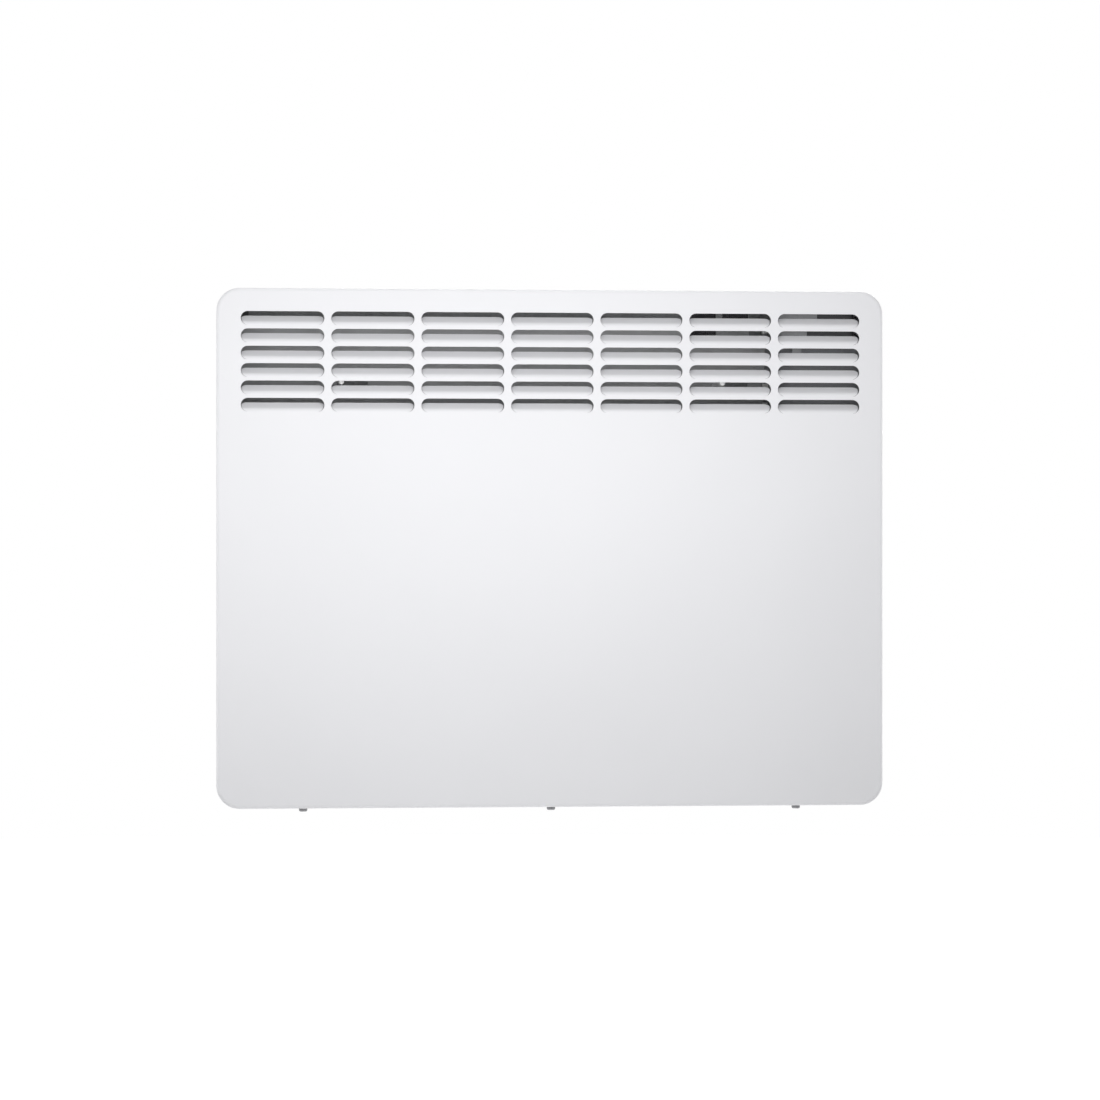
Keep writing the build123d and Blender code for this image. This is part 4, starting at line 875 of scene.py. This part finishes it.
class HEATER_OT_finish_leads(bpy.types.Operator):
    """Gives each lead its insulation"""

    bl_idname = "heater.finish_leads"
    bl_label = "Finish the leads"

    def execute(self, context):
        nodes = {
            "lead_blue": ("neutral_wire",),
            "lead_brown": ("live_wire",),
            "lead_black": ("switched_wire",),
            "lead_red": ("element_wire", "cutout_wires"),
            "lead_grey": ("sensor_wire", "ribbon_cable"),
        }
        for slot, colour in LEADS.items():
            paint(insulation(slot, colour), nodes[slot])
        paint(lead_earth(), ("earth_wire",))
        return {"FINISHED"}


# ---- operators: pieces of this file ----

SEGMENTS = {
    "0": "abcdef",
    "1": "bc",
    "2": "abdeg",
    "3": "abcdg",
    "4": "bcfg",
    "5": "acdfg",
    "6": "acdefg",
    "7": "abc",
    "8": "abcdefg",
    "9": "abcdfg",
}
# shares of a digit's height, and for a level bar's length and width of the pitch between two bars
SEGMENT_LENGTH, SEGMENT_WIDTH, DIGIT_PITCH = 0.46, 0.14, 0.8
LEVEL_PITCH, LEVEL_OFFSET, LEVEL_LENGTH, LEVEL_WIDTH = 0.2, 1.22, 1.7, 0.5

SEGMENT_PLACES = {
    "a": (0.0, 1.0, 0.0),
    "b": (0.5, 0.5, 90.0),
    "c": (0.5, -0.5, 90.0),
    "d": (0.0, -1.0, 0.0),
    "e": (-0.5, -0.5, 90.0),
    "f": (-0.5, 0.5, 90.0),
    "g": (0.0, 0.0, 0.0),
}


def pointed_bar(length, width, height):
    """A flat bar along X with pointed ends, its middle at the origin."""
    bar = new_disc((0, 0, 0), width / 2, height, sides=6, turn=(0, 0, math.radians(90)))
    for side in (-1, 1):
        select_edges(bar, lambda a, b: min(a.x * side, b.x * side) > 0)
        bpy.ops.transform.translate(value=(side * (length - width) / 2, 0, 0))
        done()
    return bar


class HEATER_OT_display_digits(bpy.types.Operator):
    """Makes the seven-segment number on the display, and the stack of level bars beside it"""

    bl_idname = "heater.display_digits"
    bl_label = "Make the display digits"

    def execute(self, context):
        seat = middle("display_panel")
        seat.y += fittings().digit_setback
        seat.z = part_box("display_panel")[1].z + fittings().digit_relief
        tall = fittings().digit_height
        length, width = tall * SEGMENT_LENGTH, tall * SEGMENT_WIDTH
        text = str(fittings().shown_number)
        parts = []
        for position, character in enumerate(text):
            left = (position - (len(text) - 1) / 2) * tall * DIGIT_PITCH
            for segment in SEGMENTS[character]:
                right, up, turn = SEGMENT_PLACES[segment]
                bar = pointed_bar(length, width, fittings().digit_relief)
                spot = seat + Vector((left + right * tall / 2, up * tall / 2, 0))
                bar.data.transform(Matrix.Translation(spot) @ Matrix.Rotation(math.radians(turn), 4, "Z"))
                parts.append(bar)
        pitch = tall * LEVEL_PITCH
        for level in range(fittings().level_bars):
            bar = pointed_bar(pitch * LEVEL_LENGTH, pitch * LEVEL_WIDTH, fittings().digit_relief)
            rise = (level - (fittings().level_bars - 1) / 2) * pitch
            bar.data.transform(Matrix.Translation(seat + Vector((tall * LEVEL_OFFSET, rise, 0))))
            parts.append(bar)
        piece = joined("display_digits", parts, display_ink())
        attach(piece, "heater")
        return {"FINISHED"}


def drawn_in(centre, rise, share):
    """Extrudes the selected top face by a rise, and draws it in to a share of its size."""
    bpy.ops.mesh.extrude_region_move(TRANSFORM_OT_translate={"value": (0, 0, rise)})
    bpy.ops.transform.resize(value=(share, share, 1), center_override=centre)


def button_cap(node):
    """A button with a flange, a rounded rim and a finger dish, in the place of its CAD node."""
    low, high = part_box(node)
    centre = (low + high) / 2
    flange, rim, corner = 1 * MM, 0.5 * MM, 2 * MM
    dish = fittings().button_dish
    block = new_block(low, (high.x, high.y, low.z + flange))
    select_edges(block, lambda a, b: abs(a.z - b.z) > flange / 2)
    bpy.ops.mesh.bevel(offset=corner, segments=6)
    done()
    select_faces(block, lambda face: face.normal.z > 0.9)
    drawn_in(centre, 0, 1 - 2 * flange / (high.x - low.x))
    drawn_in(centre, high.z - low.z - flange - rim, 1)
    for rise, share in ((0.5, 0.985), (0.3, 0.965), (0.2, 0.94)):
        drawn_in(centre, rise * rim, share)
    for drop, share in ((0.05, 0.95), (0.3, 0.85), (0.4, 0.75), (0.25, 0.55)):
        drawn_in(centre, -drop * dish, share)
    done()
    return block


def mark_bar(centre, length, width, height, turn=0.0):
    """A thin bar with rounded ends, flat on a button."""
    half = Vector((length / 2, width / 2, height / 2))
    bar = new_block(-half, half)
    select_edges(bar, lambda a, b: abs(a.z - b.z) > height / 2)
    bpy.ops.mesh.bevel(offset=width * 0.45, segments=4)
    done()
    bar.data.transform(Matrix.Translation(centre) @ Matrix.Rotation(turn, 4, "Z"))
    return bar


def mark_ring(centre, radius, width, height):
    """A flat ring on a button."""
    ring = new_disc(centre, radius, height, sides=40)
    select_faces(ring, lambda face: abs(face.normal.z) > 0.9)
    bpy.ops.mesh.inset(thickness=width)
    bpy.ops.mesh.bridge_edge_loops()
    done()
    return ring


class HEATER_OT_buttons(bpy.types.Operator):
    """Makes the four dished buttons and the plain marks on them"""

    bl_idname = "heater.buttons"
    bl_label = "Make the buttons"

    def execute(self, context):
        plastic = button_plastic()
        ink = mark_ink()
        relief = fittings().mark_relief
        bar = {"length": 4.4 * MM, "width": 0.7 * MM, "height": relief}
        for node in ("button_menu", "button_minus", "button_plus", "button_ok"):
            cap = joined(node + "_cap", [button_cap(node)], plastic)
            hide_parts(node)
            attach(cap, node)
            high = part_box(node)[1]
            seat = Vector((middle(node).x, middle(node).y, high.z - fittings().button_dish + relief / 2))
            if node == "button_menu":
                rows = (-1.4 * MM, 0, 1.4 * MM)
                marks = [mark_bar(seat + Vector((0, row, 0)), **bar) for row in rows]
            elif node == "button_minus":
                marks = [mark_bar(seat, **bar)]
            elif node == "button_plus":
                marks = [mark_bar(seat, **bar), mark_bar(seat, **bar, turn=math.radians(90))]
            else:
                marks = [mark_ring(seat, radius=1.9 * MM, width=0.6 * MM, height=relief)]
            mark = joined(node + "_mark", marks, ink)
            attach(mark, node)
        return {"FINISHED"}


class HEATER_OT_rocker_marks(bpy.types.Operator):
    """Makes the raised on and off marks of the mains switch, one on each half of its rocker"""

    bl_idname = "heater.rocker_marks"
    bl_label = "Make the switch marks"

    def execute(self, context):
        relief = fittings().mark_relief
        bar = mark_bar(Vector(), length=3.2 * MM, width=0.6 * MM, height=relief)
        ring = mark_ring((0, 0, 0), radius=1.7 * MM, width=0.5 * MM, height=relief)
        for piece, (spot, facing) in zip((bar, ring), self.halves("switch_rocker")):
            turn = Vector((0, 0, 1)).rotation_difference(facing).to_matrix().to_4x4()
            piece.data.transform(Matrix.Translation(spot) @ turn)
        marks = joined("switch_marks", [bar, ring], mark_white())
        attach(marks, "rocker")
        return {"FINISHED"}

    def halves(self, node):
        """The middle and the outward way of the two faces under the rocker."""
        under = [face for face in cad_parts[node].data.polygons if face.normal.z < -0.9]
        lean = sum(face.normal.y * face.area for face in under) / sum(face.area for face in under)
        for side in (-1, 1):
            half = [face for face in under if (face.normal.y - lean) * side > 0]
            area = sum(face.area for face in half)
            spot = sum((face.center * face.area for face in half), Vector()) / area
            facing = sum((face.normal * face.area for face in half), Vector()).normalized()
            yield spot, facing


def turned(profile, sides=48):
    """A turned piece along Z, from the radius and height of each ring; the first two radii are the same."""
    (radius, start), (_, height) = profile[:2]
    piece = new_disc((0, 0, (start + height) / 2), radius, height - start, sides=sides)
    select_faces(piece, lambda face: face.normal.z > 0.9)
    for next_radius, next_height in profile[2:]:
        drawn_in((0, 0, 0), next_height - height, next_radius / radius)
        radius, height = next_radius, next_height
    done()
    return piece


class HEATER_OT_rubber_spacers(bpy.types.Operator):
    """Makes the two grooved rubber spacers that keep the heater's foot off the wall"""

    bl_idname = "heater.rubber_spacers"
    bl_label = "Make the rubber spacers"

    def execute(self, context):
        low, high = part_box("wall_spacers")
        radius = (high.z - low.z) / 2
        parts = []
        for x in (low.x + radius, high.x - radius):
            spacer = turned(self.profile(radius, high.y - low.y))
            stand = Matrix.Translation((x, low.y, (low.z + high.z) / 2))
            spacer.data.transform(stand @ Matrix.Rotation(math.radians(-90), 4, "X"))
            parts.append(spacer)
        piece = joined("rubber_spacers", parts, rubber_grey())
        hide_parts("wall_spacers")
        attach(piece, "heater")
        return {"FINISHED"}

    def profile(self, radius, length):
        """The radius and height of each ring: stem in the panel, grooved body, ringed face on the wall."""
        stem, through = 3 * MM, 1.6 * MM
        tip, tip_start = 0.4 * MM, 0.2 * MM
        edge, face_depth = 0.5 * MM, 0.6 * MM
        slope, groove_floor = 0.4 * MM, 0.8 * MM
        groove = radius - fittings().spacer_groove
        rings = [(stem - tip, 0), (stem - tip, tip_start), (stem, tip_start + tip), (stem, through)]
        rings += [(radius - edge, through), (radius, through + edge)]
        for start in (3.4 * MM, 6 * MM, 8.6 * MM, 11.2 * MM):
            far = start + slope + groove_floor
            rings += [(radius, start), (groove, start + slope), (groove, far), (radius, far + slope)]
        rings += [(radius, length - face_depth), (radius - face_depth, length)]
        outer, inner = 0.76 * radius, 0.32 * radius
        wide = 2.2 * MM
        rings += [(outer, length), (outer - slope, length - face_depth)]
        rings += [(outer - wide, length - face_depth), (outer - wide - slope, length)]
        rings += [(inner, length), (inner - slope, length - face_depth)]
        return rings


# The pads give the baffle's notch a dark surface: painted shade for the cavity behind it.
# two pads, each from its lower left to its upper right corner, in millimetres
PAD_CORNERS = (((127, 184), (154.5, 217)), ((160.5, 200), (184, 217)))
FOAM_CELL = 2 * MM


class HEATER_OT_seal_pads(bpy.types.Operator):
    """Makes the two black foam pads on the rear panel behind the notch of the baffle, dark pads that stand
    in for the shade of the deep cavity there
    """

    bl_idname = "heater.seal_pads"
    bl_label = "Make the foam pads"

    def execute(self, context):
        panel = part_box("rear_panel")[0]
        pads = [self.pad(low, high, panel.y) for low, high in PAD_CORNERS]
        piece = joined("seal_pads", pads, foam_black(), smooth=math.radians(15))
        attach(piece, "heater")
        return {"FINISHED"}

    def pad(self, low, high, seat):
        """A pad of peaked foam between two corners in millimetres, flat on the panel."""
        width, height = ((b - a) * MM for a, b in zip(low, high))
        centre = [(a + b) / 2 * MM for a, b in zip(low, high)]
        clear_selection()
        bpy.ops.mesh.primitive_grid_add(
            x_subdivisions=round(width / FOAM_CELL), y_subdivisions=round(height / FOAM_CELL), size=1
        )
        foam = bpy.context.object
        foam.scale = (width, height, 1)
        apply_place(foam)
        select_faces(foam, lambda face: True)
        bpy.ops.mesh.extrude_region_move(
            TRANSFORM_OT_translate={"value": (0, 0, fittings().pad_thickness)}
        )
        bpy.ops.mesh.poke(offset=fittings().pad_peak)
        bpy.ops.mesh.select_all(action="SELECT")
        bpy.ops.mesh.normals_make_consistent(inside=False)
        done()
        stand = Matrix.Translation((centre[0], seat, centre[1]))
        foam.data.transform(stand @ Matrix.Rotation(math.radians(90), 4, "X"))
        return foam


# ---- operator: studio ----


class HEATER_OT_stage(bpy.types.Operator):
    """Makes the floor, the lamps, the surroundings and the camera"""

    bl_idname = "heater.stage"
    bl_label = "Make the studio"

    def execute(self, context):
        settings = context.scene.heater_stage
        self.floor(settings)
        self.surroundings(settings)
        self.lamp("key_lamp", spot=(-0.12, -0.71, 0.16), size=(0.8, 0.5), power=settings.key_power)
        self.lamp("fill_lamp", spot=(0.15, -0.7, 0.25), size=(0.5, 0.4), power=settings.fill_power)
        far = settings.rim_distance
        for name, spot, size in (
            ("left_rim", (-far, 0, 0), (0.16, 0.6)),
            ("right_rim", (far, 0, 0), (0.16, 0.6)),
            ("top_rim", (0, 0, far), (0.8, 0.16)),
            ("low_rim", (0, 0, -far), (0.8, 0.16)),
        ):
            self.lamp(name, spot, size, settings.rim_power)
        self.lamp("back_lamp", spot=(0.3, 1.2, 0.5), size=(1.0, 0.8), power=settings.back_power)
        self.camera(settings)
        context.scene.view_settings.view_transform = "Standard"
        return {"FINISHED"}

    def floor(self, settings):
        """A round pale floor, seen only from above: white to the eye, less the heater's shadow."""
        clear_selection()
        bpy.ops.mesh.primitive_circle_add(
            vertices=96, radius=12, fill_type="NGON", location=(0, 0, -settings.floor_drop)
        )
        floor = bpy.context.object
        floor.name = "studio_floor"
        material = bpy.data.materials.new("pale_floor")
        material.use_nodes = True
        tree = material.node_tree
        shader = tree.nodes["Principled BSDF"]
        shader.inputs["Base Color"].default_value = (0.8, 0.8, 0.8, 1.0)
        shader.inputs["Roughness"].default_value = 0.9
        glow = add_node(tree, "ShaderNodeEmission", {"Color": (1, 1, 1, 1), "Strength": 0.75})
        lifted = tree.nodes.new("ShaderNodeAddShader")
        tree.links.new(shader.outputs[0], lifted.inputs[0])
        tree.links.new(glow.outputs[0], lifted.inputs[1])
        pale = add_node(tree, "ShaderNodeMixShader", {"Fac": seen_directly(tree)})
        tree.links.new(shader.outputs[0], pale.inputs[1])
        tree.links.new(lifted.outputs[0], pale.inputs[2])
        under = tree.nodes.new("ShaderNodeNewGeometry").outputs["Backfacing"]
        clear = tree.nodes.new("ShaderNodeBsdfTransparent")
        sided = add_node(tree, "ShaderNodeMixShader", {"Fac": under})
        tree.links.new(pale.outputs[0], sided.inputs[1])
        tree.links.new(clear.outputs[0], sided.inputs[2])
        tree.links.new(sided.outputs[0], tree.nodes["Material Output"].inputs["Surface"])
        floor.data.materials.append(material)

    def surroundings(self, settings):
        """White to the eye and in reflections, and an even grey light on what is matt."""
        world = bpy.data.worlds.new("studio")
        bpy.context.scene.world = world
        world.use_nodes = True
        tree = world.node_tree
        tree.nodes.clear()
        seen = seen_directly(tree)
        strength = spread(tree, seen, settings.ambient, 1.0)
        light = add_node(tree, "ShaderNodeBackground", {"Color": (1, 1, 1, 1), "Strength": strength})
        out = tree.nodes.new("ShaderNodeOutputWorld")
        tree.links.new(light.outputs[0], out.inputs["Surface"])

    def lamp(self, name, spot, size, power):
        """A soft rectangular lamp, aimed at the middle of the heater and unseen itself."""
        light = bpy.data.lights.new(name, "AREA")
        light.shape = "RECTANGLE"
        light.size, light.size_y = size
        light.energy = power
        lamp = bpy.data.objects.new(name, light)
        lamp.location = spot
        lamp.rotation_euler = (-Vector(spot)).to_track_quat("-Z", "Y").to_euler()
        lamp.visible_camera = False
        bpy.context.scene.collection.objects.link(lamp)

    def camera(self, settings):
        """The camera at the photograph's place."""
        low, high = cad_box
        target = Vector((settings.aim_right, (low.y + high.y) / 2, -settings.aim_down))
        turn = settings.view_azimuth
        back = Vector((-math.sin(turn), -math.cos(turn), 0))
        lens = bpy.data.cameras.new("camera")
        lens.sensor_width = 36
        lens.lens = settings.focal_length
        lens.clip_end = 50
        camera = bpy.data.objects.new("camera", lens)
        camera.location = target + back * settings.view_distance
        camera.rotation_euler = (-back).to_track_quat("-Z", "Y").to_euler()
        bpy.context.scene.collection.objects.link(camera)
        bpy.context.scene.camera = camera


# ---- panel and registration ----

PIECES = (
    HEATER_OT_coat_casing,
    HEATER_OT_finish_sheets,
    HEATER_OT_finish_fasteners,
    HEATER_OT_finish_element,
    HEATER_OT_finish_controls,
    HEATER_OT_finish_electronics,
    HEATER_OT_finish_leads,
    HEATER_OT_display_digits,
    HEATER_OT_buttons,
    HEATER_OT_rocker_marks,
    HEATER_OT_rubber_spacers,
    HEATER_OT_seal_pads,
    HEATER_OT_stage,
)


class HEATER_PT_steps(bpy.types.Panel):
    """Lists the steps that dress the heater"""

    bl_idname = "HEATER_PT_steps"
    bl_label = "Panel convector heater"
    bl_space_type = "VIEW_3D"
    bl_region_type = "UI"
    bl_category = "Heater"

    def draw(self, context):
        scene = context.scene
        for group in (scene.heater_finish, scene.heater_fitting, scene.heater_stage):
            for name in group.bl_rna.properties.keys():
                if name not in ("rna_type", "name"):
                    self.layout.prop(group, name)
        for step in PIECES:
            self.layout.operator(step.bl_idname)


SETTINGS = (
    ("heater_finish", HeaterFinishSettings),
    ("heater_fitting", HeaterFittingSettings),
    ("heater_stage", HeaterStageSettings),
)


def register():
    for name, group in SETTINGS:
        bpy.utils.register_class(group)
        setattr(bpy.types.Scene, name, PointerProperty(type=group))
    for step in PIECES:
        bpy.utils.register_class(step)
    bpy.utils.register_class(HEATER_PT_steps)


def unregister():
    bpy.utils.unregister_class(HEATER_PT_steps)
    for step in reversed(PIECES):
        bpy.utils.unregister_class(step)
    for name, group in reversed(SETTINGS):
        delattr(bpy.types.Scene, name)
        bpy.utils.unregister_class(group)


def main():
    register()
    for step in PIECES:
        family, name = step.bl_idname.split(".")
        getattr(getattr(bpy.ops, family), name)()


if __name__ == "__main__":
    main()
